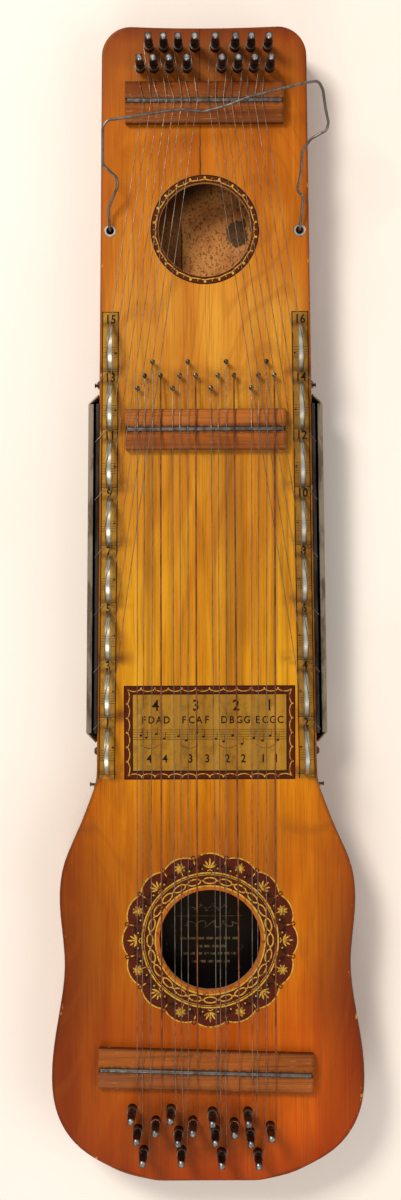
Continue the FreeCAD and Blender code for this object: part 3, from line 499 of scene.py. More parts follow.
# %% Ribs and back
def stained_wood(name, dark, pale, seed):
    """Varnished wood of one stain: darker and paler stripes along the grain."""
    finish = Finish(name, Specular_IOR_Level=0.3, Specular_Tint=AMBER, Coat_Weight=0.03,
                    Coat_Roughness=0.18)
    pores, rings = grain(finish, "y", seed)
    patches = finish.between(finish.noise((9.0, 7.0, 9.0), (seed, 0.0, 0.0)), 0.35, 0.65)
    finish.colour = finish.mix(rings * 0.7 + patches * 0.3, light(dark), light(pale))
    finish.tint(finish.between(pores, 0.0, 0.4, 0.35, 0.0), (60, 22, 10))
    finish.give("Roughness", 0.36 + 0.12 * rings)
    finish.bump(0.3 * pores + 0.7 * rings, 0.05 * MM, 0.6)
    finish.give("Base Color", finish.colour)
    return finish


ribs = stained_wood("rib_wood", (104, 40, 14), (158, 76, 26), 0.4)
back = stained_wood("back_wood", (92, 36, 14), (140, 66, 24), 0.9)
inside = back.between(back.z, 2.7 * MM, 2.95 * MM)
bare_cloud = back.between(back.noise((40.0, 30.0, 30.0), detail=5.0, roughness=0.65), 0.32, 0.68)
outside = back.colour
back.colour = back.mix(bare_cloud, light((172, 98, 44)), light((226, 154, 84)))
specks = back.noise((620.0, 480.0, 300.0), (0.5, 0.1, 0.0), detail=4.0, roughness=0.7)
back.tint(back.between(specks, 0.53, 0.6) * 0.75, (74, 36, 14))
soot_edge = back.noise((240.0, 170.0, 60.0), detail=4.0, roughness=0.7) - 0.5
soot = patch(back, 20 * MM, HEAD - 114 * MM, 9 * MM, 12 * MM)
soot = back.between(soot + soot_edge * 1.6, 0.3, 0.6)
back.tint(soot * 0.85, (34, 26, 26))
shade = back.between(back.x * 0.6 - back.y, 101 * MM - HEAD, 84 * MM - HEAD)
back.tint(shade * 0.9, (26, 14, 10))
redder = back.between(back.x, -14.4 * MM, -13.9 * MM, 1.0, 0.0)
back.tint(redder * 0.7, (96, 46, 22))
split = back.between(abs(back.x + 14.0 * MM), 0.2 * MM, 0.5 * MM, 1.0, 0.0)
split *= back.between(back.y, HEAD - 108 * MM, HEAD - 116 * MM)
back.tint(split, (20, 10, 8))
back.give("Base Color", back.mix(inside, outside, back.colour))
print("ribs and back are stained")


# %% Bare wood inside
blocks = Finish("inner_wood", Roughness=0.8)
block_pores, block_rings = grain(blocks, "x", 0.2)
blocks.give("Base Color", blocks.mix(block_rings, light((150, 106, 62)), light((186, 142, 90))))
blocks.bump(block_rings + block_pores, 0.06 * MM, 0.5)
print("blocks are bare")

# %% [markdown]
# ## Bridges
# The three bridges are a redder, darker wood with the grain across the body. The half of the
# middle bridge towards the head is made paler as painted light on its rounded top, each bridge
# is darker towards its foot and along its long edges and ends, and dark dirt lies along each
# side of the rod and where strings cross.

# %% Bridge wood
bridges = Finish("bridge_wood", Specular_IOR_Level=0.35, Specular_Tint=AMBER,
                 Coat_Weight=0.05, Coat_Roughness=0.22)
bridge_pores, bridge_rings = grain(bridges, "x", 0.6)
bridge_cloud = bridges.between(bridges.noise((22.0, 60.0, 30.0), detail=4.0), 0.35, 0.65)
bridges.colour = bridges.mix(bridge_rings * 0.6 + bridge_cloud * 0.4, light((102, 44, 12)),
                             light((162, 84, 27)))
middle_low, middle_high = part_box("middle_bridge")
# Painted light: the half of the middle bridge towards the head is made paler, where light falls on
# its rounded top.
worn = bridges.between(bridges.y, (middle_low.y + middle_high.y) / 2, middle_high.y - 5 * MM)
worn *= bridges.between(bridges.y, middle_high.y + 9 * MM, middle_high.y + 8 * MM)
bridges.tint(worn * 0.4, (206, 118, 40))
foot = bridges.between(bridges.z, TOP + 0.2 * MM, TOP + 4.2 * MM, 0.75, 0.0)
bridges.tint(foot, (58, 24, 14))
rod_dirt = 0.0
long_edge = 0.0
for name, turn in (("head_bridge", 0.0), ("middle_bridge", 0.0), ("tail_bridge", -1.8)):
    low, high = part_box(name)
    middle_y = (low.y + high.y) / 2
    slope = math.tan(math.radians(turn))
    from_rod = abs(bridges.y - middle_y - (bridges.x + 1.3 * MM) * slope)
    rod_dirt = bridges.between(from_rod, 1.2 * MM, 3.6 * MM, 1.0, 0.0) + rod_dirt
    on_bridge = bridges.between(from_rod, 13.0 * MM, 13.5 * MM, 1.0, 0.0)
    edge = bridges.between(from_rod, 10.6 * MM, 12.0 * MM) * on_bridge
    ends = bridges.between(bridges.x, high.x - 2.2 * MM, high.x - 0.4 * MM) * on_bridge
    long_edge = edge.most(ends * 0.7) + long_edge
crossing = bridges.noise((320.0, 30.0, 1.0), (0.4, 0.0, 0.0), detail=3.0)
rod_dirt = (rod_dirt * bridges.between(crossing, 0.34, 0.6)).clamped()
bridges.tint(rod_dirt * 0.75, (44, 22, 16))
bridges.tint(bridges.between(bridge_pores, 0.0, 0.4, 0.4, 0.0), (48, 18, 10))
bridges.tint(long_edge.clamped() * 0.6, (44, 16, 8))
scuffs = bridges.noise((170.0, 700.0, 200.0), (0.2, 0.2, 0.0), detail=4.0, roughness=0.7)
bridges.tint(bridges.between(scuffs, 0.6, 0.7) * 0.4, (200, 128, 74))
bridges.give("Base Color", bridges.colour)
bridges.give("Roughness", 0.4 + 0.15 * bridge_rings)
bridges.bump(0.4 * bridge_pores + 0.6 * bridge_rings, 0.05 * MM, 0.6)
print("bridges are stained")

# %% [markdown]
# ## Metal
# Everything of metal is old: the nickel of the hoops and eyelets is bright on top and
# tarnished where it meets the wood, and the hoops carry painted shade towards their sides;
# the guards are dull with a brownish film, with their floor plates painted nearly black as
# painted shade; the rails are nearly black, and the pins are blued steel worn bright at
# their tips, with a painted highlight there too. One function makes them all: two colours
# mixed by a cloudy noise, with the roughness following the same cloud.


# %% Old metal
def old_metal(name, clean, dull, rough, dull_rough, cloud_size, cover=(0.4, 0.62)):
    """Metal with a cloudy film on it. Its film is kept, to add more."""
    finish = Finish(name, Metallic=0.95)
    cloud = finish.noise(cloud_size, (0.3, 0.6, 0.2), detail=5.0, roughness=0.65)
    finish.film = finish.between(cloud, *cover)
    finish.clean, finish.dull = light(clean), light(dull)
    finish.rough, finish.dull_rough = rough, dull_rough
    return finish


def lay_film(finish, film):
    """Use this film for the colour, the roughness and a little relief."""
    finish.colour = finish.mix(film, finish.clean, finish.dull)
    finish.give("Base Color", finish.colour)
    finish.give("Roughness", finish.rough + (finish.dull_rough - finish.rough) * film)
    finish.bump(film, 0.01 * MM, 0.15)
    return finish


hoops = old_metal("guide_nickel", (214, 208, 190), (84, 70, 46), 0.3, 0.5,
                  (160.0, 60.0, 60.0), (0.55, 0.9))
hoop_foot = hoops.between(hoops.z, TOP + 0.5 * MM, TOP + 9.0 * MM, 1.0, 0.0)
foot_cloud = hoops.noise((300.0, 300.0, 400.0), detail=3.0)
row_low, row_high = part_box("bow_guides_right")
row_share = (FIRST_HOOP - hoops.y) / (7 * PITCH)
HOOP_HALF = 1.5 * MM
row_x = row_low.x + HOOP_HALF + row_share * (row_high.x - row_low.x - 2 * HOOP_HALF)
# Painted shade: each hoop is duller towards its two sides and bright along its middle, as a rounded
# strip under the lamps.
hoop_side_shade = hoops.between(abs(abs(hoops.x) - row_x) / HOOP_HALF, 0.3, 0.95) * 0.75
hoop_tarnish_and_shade = (hoops.film * 0.35).most(hoop_foot * hoops.between(foot_cloud, 0.2, 0.6))
lay_film(hoops, hoop_tarnish_and_shade.most(hoop_side_shade))
guards = old_metal("guard_steel", (152, 138, 116), (100, 86, 68), 0.42, 0.62,
                   (160.0, 40.0, 120.0))
lay_film(guards, guards.film)
guard_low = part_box("side_guard_left")[0].z
# Painted shade: the guard's floor plate is painted nearly black, standing in for the deep shadow in
# the narrow gap beside the board.
guard_floor_shade = guards.between(guards.z, guard_low + 1.4 * MM, guard_low + 1.0 * MM)
guards.tint(guard_floor_shade, (26, 20, 18))
guards.give("Base Color", guards.colour)
rails = old_metal("rail_steel", (66, 62, 60), (38, 32, 30), 0.42, 0.6,
                  (200.0, 30.0, 200.0))
lay_film(rails, rails.film)
print("hoops, guards and rails are plated")

# %% Small metal parts
SMALL_METALS = {
    "screw_steel": ((120, 112, 100), (58, 50, 42), 0.35, 0.6),
    "hitch_steel": ((96, 88, 78), (38, 30, 24), 0.28, 0.5),
    "eyelet_nickel": ((232, 228, 218), (150, 138, 120), 0.25, 0.4),
    "rod_steel": ((118, 112, 106), (84, 74, 66), 0.36, 0.48),
    "wire_steel": ((122, 114, 106), (92, 82, 74), 0.38, 0.5),
    "string_steel": ((136, 126, 114), (92, 80, 70), 0.34, 0.5),
}
metals = {}
for name, (clean, dull, rough, dull_rough) in SMALL_METALS.items():
    made = old_metal(name, clean, dull, rough, dull_rough, (300.0, 90.0, 300.0))
    metals[name] = lay_film(made, made.film)
print(len(metals), "small metals")

# %% [markdown]
# The tuning pins are dark, almost black, from the blueing, with a film of rust in the
# hollows. The top of the square is lighter: rubbed bright by the key, with a painted
# highlight laid on it as well.

# %% Blued pins
pins = old_metal("pin_steel", (62, 60, 62), (34, 28, 26), 0.26, 0.48, (300.0, 300.0, 150.0))
PIN_HEIGHT = 24 * MM
pin_top = TOP + PIN_HEIGHT
# The top of each pin is made lighter: rubbed bright, and a painted highlight as well.
tip_rub_and_highlight = pins.between(pins.z, pin_top - 0.9 * MM, pin_top - 0.2 * MM)
tip_breakup = pins.noise((500.0, 500.0, 300.0), detail=3.0)
tip_rub_and_highlight = tip_rub_and_highlight * pins.between(tip_breakup, 0.35, 0.6, 0.35, 1.0)
pins.colour = pins.mix(pins.film, pins.clean, pins.dull)
pins.tint(tip_rub_and_highlight, (172, 168, 164))
pins.give("Base Color", pins.colour)
pins.give("Roughness", 0.3 + 0.2 * pins.film - 0.1 * tip_rub_and_highlight)
pins.bump(pins.film, 0.03 * MM, 0.5)
print("pins are blued")

# %% [markdown]
# A bass string is a steel core wound with fine copper wire. The winding is too fine to model
# turn by turn on four long strings, so its turns are raised in the finish, three to each
# millimetre, where the string is thick.

# %% Wound string
wound = old_metal("wound_string", (150, 92, 66), (96, 60, 46), 0.36, 0.55, (300.0, 60.0, 300.0))
wound.give("Base Color", wound.mix(wound.film, wound.clean, wound.dull))
wound.give("Roughness", 0.36 + 0.18 * wound.film)
phase = wound.y * (math.tau / (0.33 * MM))
turn = phase.maths("SINE", phase)
wound.bump(turn, 0.05 * MM, 0.8)
print("bass strings are wound")

# %% [markdown]
# ## Giving the finishes out
# Every arrived shape has one material slot named for its finish, so the slot's name says
# which of the new finishes it takes.

# %% Finish every arrived shape
FINISHES = {
    "soundboard_wood": board, "back_wood": back, "rib_wood": ribs, "inner_wood": blocks,
    "bridge_wood": bridges, "guide_nickel": hoops, "guard_steel": guards, "rail_steel": rails,
    "pin_steel": pins, "wound_string": wound, **metals,
}
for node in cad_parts.values():
    slot = node.data.materials[0].name
    node.data.materials.clear()
    node.data.materials.append(FINISHES[slot].material)
print("all arrived shapes have a finish")

# %% [markdown]
# ## Print on the wood
# The maker put printed transfers on the board before the last varnish: a ring round the upper
# hole, a rosette round the lower one, a strip of numbers under each row of hoops, and a chart
# of the chords. A transfer is a film with a shape of its own, so each is modelled as a film a
# few hundredths of a millimetre thick, with the gold and the ink as thinner films on top.
# One helper makes a band between two edges out of a grid, and another makes a filled shape
# out of a circle. Both then pull the film up to its thickness, so that it is a closed solid.


# %% Bands and filled shapes
PRINT = 0.05 * MM
LAYERS = {"base": 0, "panel": 1, "ink": 2, "top": 3}


def clear_hand():
    """Nothing selected, ready for a new piece."""
    bpy.ops.object.select_all(action="DESELECT")


def thicken(piece, points, layer, low):
    """Lay a flat piece's points down and pull it up into a closed film on its layer."""
    for vertex, point in zip(piece.data.vertices, points):
        vertex.co = (point[0], point[1], 0.0)
    low = (TOP if low is None else low) + LAYERS[layer] * PRINT
    bpy.ops.object.mode_set(mode="EDIT")
    bpy.ops.mesh.select_all(action="SELECT")
    bpy.ops.mesh.remove_doubles(threshold=1e-6)
    bpy.ops.mesh.extrude_region_move(TRANSFORM_OT_translate={"value": (0.0, 0.0, PRINT)})
    bpy.ops.mesh.select_all(action="SELECT")
    bpy.ops.mesh.normals_make_consistent(inside=False)
    bpy.ops.object.mode_set(mode="OBJECT")
    for vertex in piece.data.vertices:
        vertex.co.z += low
    return piece


def band(first, second, layer, low=None):
    """A film between two rows of points, which meet at the ends if the rows do."""
    clear_hand()
    bpy.ops.mesh.primitive_grid_add(x_subdivisions=len(first) - 1, y_subdivisions=1, size=1.0)
    return thicken(bpy.context.object, list(first) + list(second), layer, low)


def filled(points, layer, low=None):
    """A film with this outline."""
    clear_hand()
    bpy.ops.mesh.primitive_circle_add(vertices=len(points), fill_type="NGON")
    return thicken(bpy.context.object, points, layer, low)


def line(points, width, layer, low=None):
    """A drawn line: a band along the points."""
    points = [Vector(point) for point in points]
    left, right = [], []
    closed = (points[0] - points[-1]).length < 1e-6
    first, last = (points[-2], points[1]) if closed else (points[0], points[-1])
    for before, point, after in zip([first] + points[:-1], points, points[1:] + [last]):
        way = (after - before).normalized()
        side = Vector((-way.y, way.x)) * width / 2
        left.append(point + side)
        right.append(point - side)
    return band(left, right, layer, low)


def as_one(pieces):
    """Join pieces into the first of them."""
    clear_hand()
    for piece in pieces:
        piece.select_set(True)
    bpy.context.view_layer.objects.active = pieces[0]
    if len(pieces) > 1:
        bpy.ops.object.join()
    return bpy.context.object


def joined(name, pieces, finish):
    """Join pieces into one with a single finish, and fix it to the body."""
    whole = as_one(pieces)
    whole.name = whole.data.name = name
    whole.data.materials.clear()
    whole.data.materials.append(finish.material)
    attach(whole, "root")


def around(radius, angle, centre=(0.0, 0.0)):
    """A place at this angle round a centre."""
    return Vector((centre[0] + radius * math.cos(angle), centre[1] + radius * math.sin(angle)))


def circle(centre, radius, count):
    """Points round a centre; the last is the first again."""
    return [around(radius, math.tau * step / count, centre) for step in range(count + 1)]


def disc(centre, radius, layer, count=8):
    """A filled dot."""
    return filled(circle(centre, radius, count)[:-1], layer)


def turned_copies(piece, centre, count, start=0.0):
    """Copies of a piece round a centre, each with its own mesh."""
    made = []
    for number in range(count):
        copy = piece.copy()
        copy.data = piece.data.copy()
        bpy.context.collection.objects.link(copy)
        angle = start + math.tau * number / count
        middle = Vector((centre[0], centre[1], 0.0))
        move = Matrix.Translation(middle) @ Matrix.Rotation(angle, 4, "Z")
        copy.data.transform(move)
        made.append(copy)
    bpy.data.objects.remove(piece)
    return made


print("bands and shapes are ready")

# %% [markdown]
# The films on the board are printed in maroon, gold and black, on the tan of the strips and
# the chart. All are worn: a noise thins them towards the wood's colour.


# %% Inks
def ink(name, colour, worn, wear, rough=0.42, metal=0.0, size=500.0):
    """A printed colour with worn specks."""
    finish = Finish(name, Roughness=rough, Metallic=metal, Specular_IOR_Level=0.25,
                    Specular_Tint=AMBER)
    specks = finish.noise((size, size * 0.5, size), (0.1, 0.4, 0.0), detail=4.0, roughness=0.7)
    share = finish.between(specks, wear, wear + 0.14)
    finish.give("Base Color", finish.mix(share, light(colour), light(worn)))
    finish.bump(share, 0.01 * MM, 0.4)
    return finish


maroon = ink("maroon_print", (76, 19, 12), (118, 54, 22), 0.58)
gold = ink("gold_print", (212, 164, 62), (128, 72, 26), 0.49, rough=0.35, metal=0.25)
black = ink("black_print", (26, 13, 8), (70, 40, 20), 0.62)
tan = Finish("tan_print", Roughness=0.4, Specular_IOR_Level=0.3, Specular_Tint=AMBER,
             Coat_Weight=0.05)
tan_pores, tan_rings = grain(tan, "y")
tan.colour = tan.mix(tan_rings, light((140, 94, 26)), light((176, 126, 38)))
tan_dust = tan.noise((200.0, 120.0, 100.0), (0.9, 0.4, 0.0), detail=5.0, roughness=0.7)
tan_grime = tan.between(tan_dust, 0.46, 0.66)
hoop_step = hoop_share(tan)
# Painted shadow: the strip's outer edge is darkened at the feet of each hoop; the dust noise is
# real grime.
strip_foot_shadow = 1.0 - tan.between(abs(hoop_step - 0.2).least(abs(hoop_step - 0.99)), 0.0, 0.1)
strip_foot_shadow *= tan.between(abs(tan.x), 50 * MM, 52 * MM)
tan.tint((tan_grime * 0.35).most(strip_foot_shadow * 0.6), (70, 40, 18))
tan.give("Base Color", tan.colour)
tan.bump(tan_rings + 0.4 * tan_pores, 0.03 * MM, 0.5)
print("inks are ready")

# %% [markdown]
# ## The ring round the upper hole
# A maroon band edged in black, with a gold garland: twenty-two shallow loops that hang
# outwards, each joint marked with a gold bead.

# %% Upper ring
RING_LOOPS = 22
ring_outer = circle(UPPER_HOLE, 32.0 * MM, 88)
ring_inner = circle(UPPER_HOLE, UPPER_RADIUS + 0.15 * MM, 88)
joined("upper_ring", [band(ring_outer, ring_inner, "base")], maroon)
ring_edges = [line(circle(UPPER_HOLE, 31.7 * MM, 88), 0.7 * MM, "panel"),
              line(circle(UPPER_HOLE, UPPER_RADIUS + 0.4 * MM, 88), 0.4 * MM, "panel")]
joined("upper_ring_edges", ring_edges, black)
loop_angle = math.tau / RING_LOOPS
loop_points = []
for step in range(9):
    share = step / 8
    angle = loop_angle * (share - 0.5)
    rise = (2 * share - 1) ** 2 - 0.4 * math.cos(math.pi * share) ** 4
    radius = (29.0 + rise) * MM
    loop_points.append(around(radius, angle))
garland = turned_copies(line(loop_points, 0.5 * MM, "ink"), UPPER_HOLE, RING_LOOPS)
bead = disc(around(30.5 * MM, loop_angle / 2), 0.72 * MM, "ink", 10)
garland += turned_copies(bead, UPPER_HOLE, RING_LOOPS)
tick = line([(29.4 * MM, 0.0), (30.6 * MM, 0.0)], 0.3 * MM, "ink")
garland += turned_copies(tick, UPPER_HOLE, RING_LOOPS)
joined("upper_ring_gold", garland, gold)
print("upper ring has", RING_LOOPS, "loops")

# %% [markdown]
# ## The rosette
# Sixteen lobes stand round the lower hole. Their outline is half of a fast cosine wave laid
# round a circle. Palmettes and round flowers take turns in the lobes, a dark ring sits in
# each notch, and inside them run a thin gold ring, a chain of ovals and a second gold ring.

# %% Rosette ground
LOBES = 16
lobe_angle = math.tau / LOBES


def lobed(grow, count=192):
    """The rosette's outline, made larger by this much."""
    points = []
    for step in range(count + 1):
        angle = math.tau * step / count
        wave = abs(math.cos(angle * LOBES / 2)) ** 0.7
        points.append(around(49.2 * MM + 3.2 * MM * wave + grow, angle, LOWER_HOLE))
    return points


rosette_inner = circle(LOWER_HOLE, LOWER_RADIUS + 2.0 * MM, 192)
joined("rosette_ground", [band(lobed(0.0), rosette_inner, "base")], maroon)
outlines = [band(lobed(0.75 * MM), lobed(-0.05 * MM), "panel")]
for radius, width in ((40.9, 0.9), (39.7, 0.3), (33.0, 0.9)):
    outlines.append(line(circle(LOWER_HOLE, radius * MM, 128), width * MM, "ink"))
joined("rosette_outlines", outlines, gold)
print("rosette has", LOBES, "lobes")


# %% Chain of ovals
def oval(centre, along, across, count=14):
    """An oval with its long side along Y."""
    return [(centre[0] + across * math.cos(math.tau * step / count),
             centre[1] + along * math.sin(math.tau * step / count)) for step in range(count + 1)]


CHAIN = 24
link = line(oval((36.2 * MM, 0.0), 3.9 * MM, 1.8 * MM), 0.75 * MM, "ink")
chain = turned_copies(link, LOWER_HOLE, CHAIN)
bead = disc((36.5 * MM, 0.0), 0.5 * MM, "ink")
chain += turned_copies(bead, LOWER_HOLE, CHAIN, math.tau / CHAIN / 2)
joined("rosette_chain", chain, gold)
print("chain has", CHAIN, "links")


# %% Flowers and palmettes
def leaf(start, angle, length, width, layer="ink"):
    """A pointed leaf from a point outwards; angle 0 is away from the hole."""
    way = Vector((math.cos(angle), math.sin(angle)))
    side = Vector((-way.y, way.x))
    edge = [(0.0, 0.1), (0.35, 0.8), (0.65, 1.0), (0.88, 0.6), (1.0, 0.0)]
    edge += [(share, -spread) for share, spread in reversed(edge[:-1])]
    outline = [Vector(start) + way * length * share + side * width / 2 * spread
               for share, spread in edge]
    return filled(outline, layer)


fan = []
for degrees in (-62, -32, 0, 32, 62):
    length = (6.4 - abs(degrees) * 0.03) * MM
    fan.append(leaf((43.6 * MM, 0.0), math.radians(degrees), length, 1.05 * MM))
fan.append(line([(42.0 * MM, 1.6 * MM), (42.8 * MM, 0.0), (42.0 * MM, -1.6 * MM)], 0.5 * MM, "ink"))
palmette = as_one(fan)
petals = [leaf((47.0 * MM, 0.0), math.radians(45 * number), 3.3 * MM, 1.0 * MM)
          for number in range(8)]
petals.append(line(circle((47.0 * MM, 0.0), 2.2 * MM, 16), 0.3 * MM, "ink"))
petals.append(line([(42.0 * MM, 0.0), (43.8 * MM, 0.0)], 0.45 * MM, "ink"))
ornament = turned_copies(palmette, LOWER_HOLE, LOBES // 2, math.pi / 2)
ornament += turned_copies(as_one(petals), LOWER_HOLE, LOBES // 2, math.pi / 2 + lobe_angle)
joined("rosette_flowers", ornament, gold)
print("flowers", LOBES)

# %% Notch rings and sprigs
notch = math.tau / LOBES / 2
notch_ring = line(circle((50.8 * MM, 0.0), 1.15 * MM, 12), 0.5 * MM, "top")
dark_print = turned_copies(notch_ring, LOWER_HOLE, LOBES, notch)
for angle in (-0.12, 0.12):
    spot = around(42.6 * MM, angle)
    for lean, length in ((6.0, 5.2), (1.5, 4.2), (-4.0, 3.4)):
        dark_leaf = leaf(spot, angle * lean, length * MM, 1.3 * MM, "panel")
        dark_print += turned_copies(dark_leaf, LOWER_HOLE, LOBES, lobe_angle / 2 + notch)
for angle in (-0.14, -0.05, 0.05, 0.14):
    dot = disc(around(41.9 * MM, angle), 0.6 * MM, "panel")
    dark_print += turned_copies(dot, LOWER_HOLE, LOBES)
joined("rosette_leaves", dark_print, black)
sprigs = turned_copies(leaf((46.4 * MM, 0.0), 0.0, 2.6 * MM, 0.8 * MM), LOWER_HOLE, LOBES, notch)
for angle in (0.09, -0.09):
    dot = disc(around(43.6 * MM, angle), 0.55 * MM, "ink")
    sprigs += turned_copies(dot, LOWER_HOLE, LOBES, notch)
joined("rosette_sprigs", sprigs, gold)
wood_ring = band(circle(LOWER_HOLE, LOWER_RADIUS + 2.1 * MM, 128),
                 circle(LOWER_HOLE, LOWER_RADIUS + 0.1 * MM, 128), "base")
joined("rosette_wood_ring", [wood_ring], ink("ring_stain", (176, 92, 26), (120, 52, 18), 0.5))
print("sprigs are printed")


# %% [markdown]
# ## Writing
# Numbers and note letters are text objects. Text is a curve, so it is made a mesh first and
# only then put in its place. Every number is centred on its own middle.

# %% Writing helper
NARROW = 0.9
CAPITAL = 0.72


def written(text, x, y, height):
    """A narrow number or note letter as a film, centred on a place."""
    clear_hand()
    bpy.ops.object.text_add()
    made = bpy.context.object
    made.data.body = text
    made.data.align_x = "CENTER"
    made.data.size = height / CAPITAL
    made.data.extrude = PRINT / 2
    made.data.offset = height * 0.025
    made.data.resolution_u = 3
    bpy.ops.object.convert(target="MESH")
    made = bpy.context.object
    low = TOP + LAYERS["ink"] * PRINT + PRINT / 2
    for vertex in made.data.vertices:
        vertex.co.x = vertex.co.x * NARROW + x
        vertex.co.y += y - height / 2
        vertex.co.z += low
    return made


print("writing is ready")

# %% [markdown]
# ## The number strips
# Each strip follows its side of the body. Its outer edge stops where the board's edge starts
# to round. There is a cell for each hoop: a number above the hoop, then a short staff with a
# note head, which tells the player where the note is written.

# %% Number strips
STRIP_WIDTH = {-1: 10.0 * MM, 1: 9.9 * MM}
STRIP_TOP, STRIP_FOOT = 178.0 * MM, -99.8 * MM
numbers_ink, frames_ink, strips = [], [], []


def strip_side(side, y, share):
    """A place across a strip: share 0 is its inner edge and 1 its outer edge."""
    outer = half_width(y) - 1.35 * MM
    return side * (outer - STRIP_WIDTH[side] * (1 - share))


def strip_run(side, share):
    """A line down a strip."""
    return [(strip_side(side, y, share), y) for y in (STRIP_TOP, 40 * MM, STRIP_FOOT)]


for side in (-1, 1):
    strips.append(band(strip_run(side, 0.0), strip_run(side, 1.0), "base"))
    for share in (0.03, 0.97):
        frames_ink.append(line(strip_run(side, share), 0.6 * MM, "panel"))
    for cell in range(9):
        y = STRIP_TOP - 0.3 * MM if cell == 0 else FIRST_HOOP + 20.5 * MM - PITCH * cell
        y = max(y, STRIP_FOOT + 0.3 * MM)
        ends = [(strip_side(side, y, 0.0), y), (strip_side(side, y, 1.0), y)]
        frames_ink.append(line(ends, 0.4 * MM, "panel"))
    for cell in range(8):
        number = 15 - 2 * cell if side < 0 else 16 - 2 * cell
        y = FIRST_HOOP + 17.2 * MM - PITCH * cell
        numbers_ink.append(written(str(number), strip_side(side, y, 0.5), y, 5.2 * MM))
        for staff in range(5):
            y = FIRST_HOOP - 5.5 * MM + 1.5 * MM * staff - PITCH * cell
            ends = [(strip_side(side, y, 0.1), y), (strip_side(side, y, 0.92), y)]
            frames_ink.append(line(ends, 0.2 * MM, "ink"))
        note = FIRST_HOOP + (cell - 4) * 0.75 * MM - PITCH * cell
        spot = (strip_side(side, note, 0.18), note)
        frames_ink.append(filled(oval(spot, 0.55 * MM, 0.8 * MM, 10)[:-1], "top"))
joined("number_strips", strips, tan)
joined("number_strip_lines", frames_ink, black)
joined("number_strip_numbers", numbers_ink, black)
print("strips have", len(numbers_ink), "numbers")

# %% [markdown]
# ## The chord chart
# A maroon frame with a gold scalloped line and beads, and a tan panel inside it: large chord
# numbers, the note letters of each chord, a staff with note heads and slurs, and a second row
# of numbers that says which string group answers.

# %% Chart frame
CHART_LEFT, CHART_RIGHT = -49.5 * MM, 52.9 * MM
CHART_TOP, CHART_FOOT = -44.0 * MM, -100.3 * MM
FRAME = 5.3 * MM


def box_points(inset):
    """The chart's outline, moved inwards."""
    left, right = CHART_LEFT + inset, CHART_RIGHT - inset
    top, foot = CHART_TOP - inset, CHART_FOOT + inset
    return [(left, foot), (right, foot), (right, top), (left, top)]


joined("chart_frame", [filled(box_points(0.0), "base")], maroon)
joined("chart_panel", [filled(box_points(FRAME), "panel")], tan)
chart_edges = []
for inset in (0.35 * MM, FRAME - 0.3 * MM):
    corners = [Vector(point) for point in box_points(inset)]
    for start, end in zip(corners, corners[1:] + corners[:1]):
        chart_edges.append(line([start, end], 0.7 * MM, "panel"))
joined("chart_edges", chart_edges, black)
print("chart frame is", round((CHART_RIGHT - CHART_LEFT) / MM, 1), "mm wide")


# %% Chart garland
def garland_run(start, end, count, inward):
    """A row of shallow loops between two corners, with a bead at each joint."""
    pieces = []
    start, end = Vector(start), Vector(end)
    for number in range(count):
        points = []
        for step in range(9):
            share = (number + step / 8) / count
            sag = math.sin(math.pi * step / 8) ** 0.8 * 1.3 * MM
            points.append(start.lerp(end, share) + Vector(inward) * sag)
        pieces.append(line(points, 0.5 * MM, "ink"))
        if number:
            spot = start.lerp(end, number / count) - Vector(inward) * 0.55 * MM
            pieces.append(disc(spot, 0.5 * MM, "ink"))
    return pieces


corner_low, corner_right, corner_top, corner_left = box_points(2.1 * MM)
garlands = garland_run(corner_left, corner_top, 12, (0.0, -1.0))
garlands += garland_run(corner_low, corner_right, 12, (0.0, 1.0))
garlands += garland_run(corner_low, corner_left, 6, (1.0, 0.0))
garlands += garland_run(corner_right, corner_top, 6, (-1.0, 0.0))
joined("chart_garland", garlands, gold)
print("chart garland has", len(garlands), "loops and beads")

# %% Chart writing
CHORD_X = (-31.0, -7.0, 17.0, 37.0)
NOTES = ("FDAD", "FCAF", "DBGG", "ECGC")
ANSWERS = ((-34.5, "4"), (-25.0, "4"), (-9.8, "3"), (0.2, "3"), (12.3, "2"), (21.8, "2"),
           (33.7, "1"), (41.5, "1"))
chart_ink = []
for number, (x, notes) in enumerate(zip(CHORD_X, NOTES)):
    chart_ink.append(written(str(4 - number), (x + 0.5) * MM, -55.6 * MM, 6.6 * MM))
    for place, letter in enumerate(notes):
        letter_x = (x + 0.2 + (place - 1.5) * 4.55) * MM
        chart_ink.append(written(letter, letter_x, -64.4 * MM, 4.4 * MM))
for x, text in ANSWERS:
    chart_ink.append(written(text, x * MM, -87.6 * MM, 5.0 * MM))
joined("chart_writing", chart_ink, black)
print("chart has", len(chart_ink), "signs")

# %% Chart staff and notes
staff_ink = []
STAFF_TOP = -70.4
for number in range(5):
    y = (STAFF_TOP - 1.45 * number) * MM
    staff_ink.append(line([(CHART_LEFT + FRAME, y), (CHART_RIGHT - FRAME, y)], 0.22 * MM, "ink"))
HEADS = ((-39.4, -3.4), (-36.2, -4.6), (-30.2, -2.6), (-25.5, -5.4), (-17.0, -4.0), (-12.4, -6.6),
         (-6.0, -2.0), (-2.0, -4.2), (5.4, -5.6), (10.0, -7.2), (15.4, -3.6), (21.0, -8.6),
         (28.0, -5.2), (33.2, -6.8), (37.8, -3.8), (42.4, -6.4))
for x, down in HEADS:
    y = STAFF_TOP + down
    head = oval((x * MM, y * MM), 0.6 * MM, 0.85 * MM, 10)[:-1]
    staff_ink.append(filled(head, "top"))
    stem = [((x + 0.75) * MM, y * MM), ((x + 0.75) * MM, (y + 4.2) * MM)]
    staff_ink.append(line(stem, 0.25 * MM, "ink"))
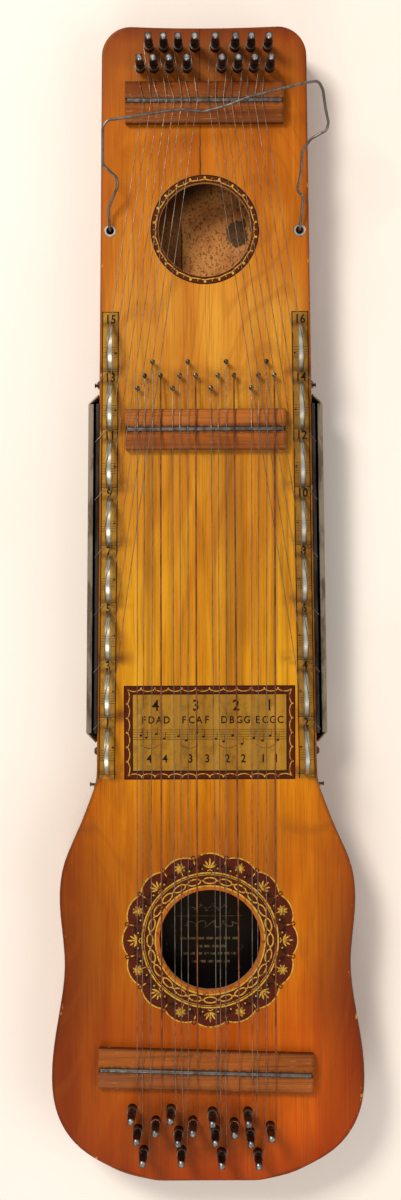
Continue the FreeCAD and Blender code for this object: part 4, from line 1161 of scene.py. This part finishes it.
for x in (-34.0, -10.5, 12.5, 35.0):
    slur = []
    for step in range(11):
        share = step / 10 * 2 - 1
        slur.append(((x + 5.6 * share) * MM, (STAFF_TOP - 11.2 + 2.2 * share ** 2) * MM))
    staff_ink.append(line(slur, 0.25 * MM, "ink"))
joined("chart_staff", staff_ink, black)
print("staff has", len(HEADS), "notes")

# %% [markdown]
# ## The label inside
# A black paper is glued on the back, under the lower hole. Its gilt is rubbed nearly away.
# Here it is given a made-up ornament: a scroll, rules, and rows of dashes where the lines of
# print would be.

# %% Label paper
label_black = ink("label_paper", (16, 12, 14), (58, 48, 42), 0.6, rough=0.3, size=260.0)
label_gilt = ink("label_gilt", (112, 92, 62), (34, 28, 26), 0.47, rough=0.5, size=420.0)
LABEL_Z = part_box("back_board")[1].z
half = 41 * MM
corners = [(LOWER_HOLE.x + x * half, LOWER_HOLE.y + y * half)
           for x, y in ((-1, -1), (1, -1), (1, 1), (-1, 1))]
joined("label_paper", [filled(corners, "base", LABEL_Z)], label_black)
gilt = []
for y, first, last, count in ((6.5, -22, 22, 1), (-7.5, -19, 19, 7), (-12.5, -9, 11, 4),
                              (-17.0, -17, 17, 8), (-22.0, -12, 13, 5)):
    width = (last - first) / count
    for number in range(count):
        start = first + width * number + 0.5
        ends = [(LOWER_HOLE.x + start * MM, LOWER_HOLE.y + y * MM),
                (LOWER_HOLE.x + (start + width - 1.2) * MM, LOWER_HOLE.y + y * MM)]
        gilt.append(line(ends, (0.3 if count == 1 else 1.5) * MM, "panel", LABEL_Z))
for height, size, waves in ((1.5, 17.0, 5), (12.0, 11.0, 3)):
    scroll = []
    for step in range(61):
        share = step / 60 * 2 - 1
        lift = math.sin(share * math.pi * waves) * 2.4 * (1 - 0.5 * abs(share))
        scroll.append((LOWER_HOLE.x + (size * share + 1.5 * math.sin(share * 19)) * MM,
                       LOWER_HOLE.y + (height + lift) * MM))
    gilt.append(line(scroll, 0.55 * MM, "panel", LABEL_Z))
joined("label_gilt", gilt, label_gilt)
print("label is glued in")
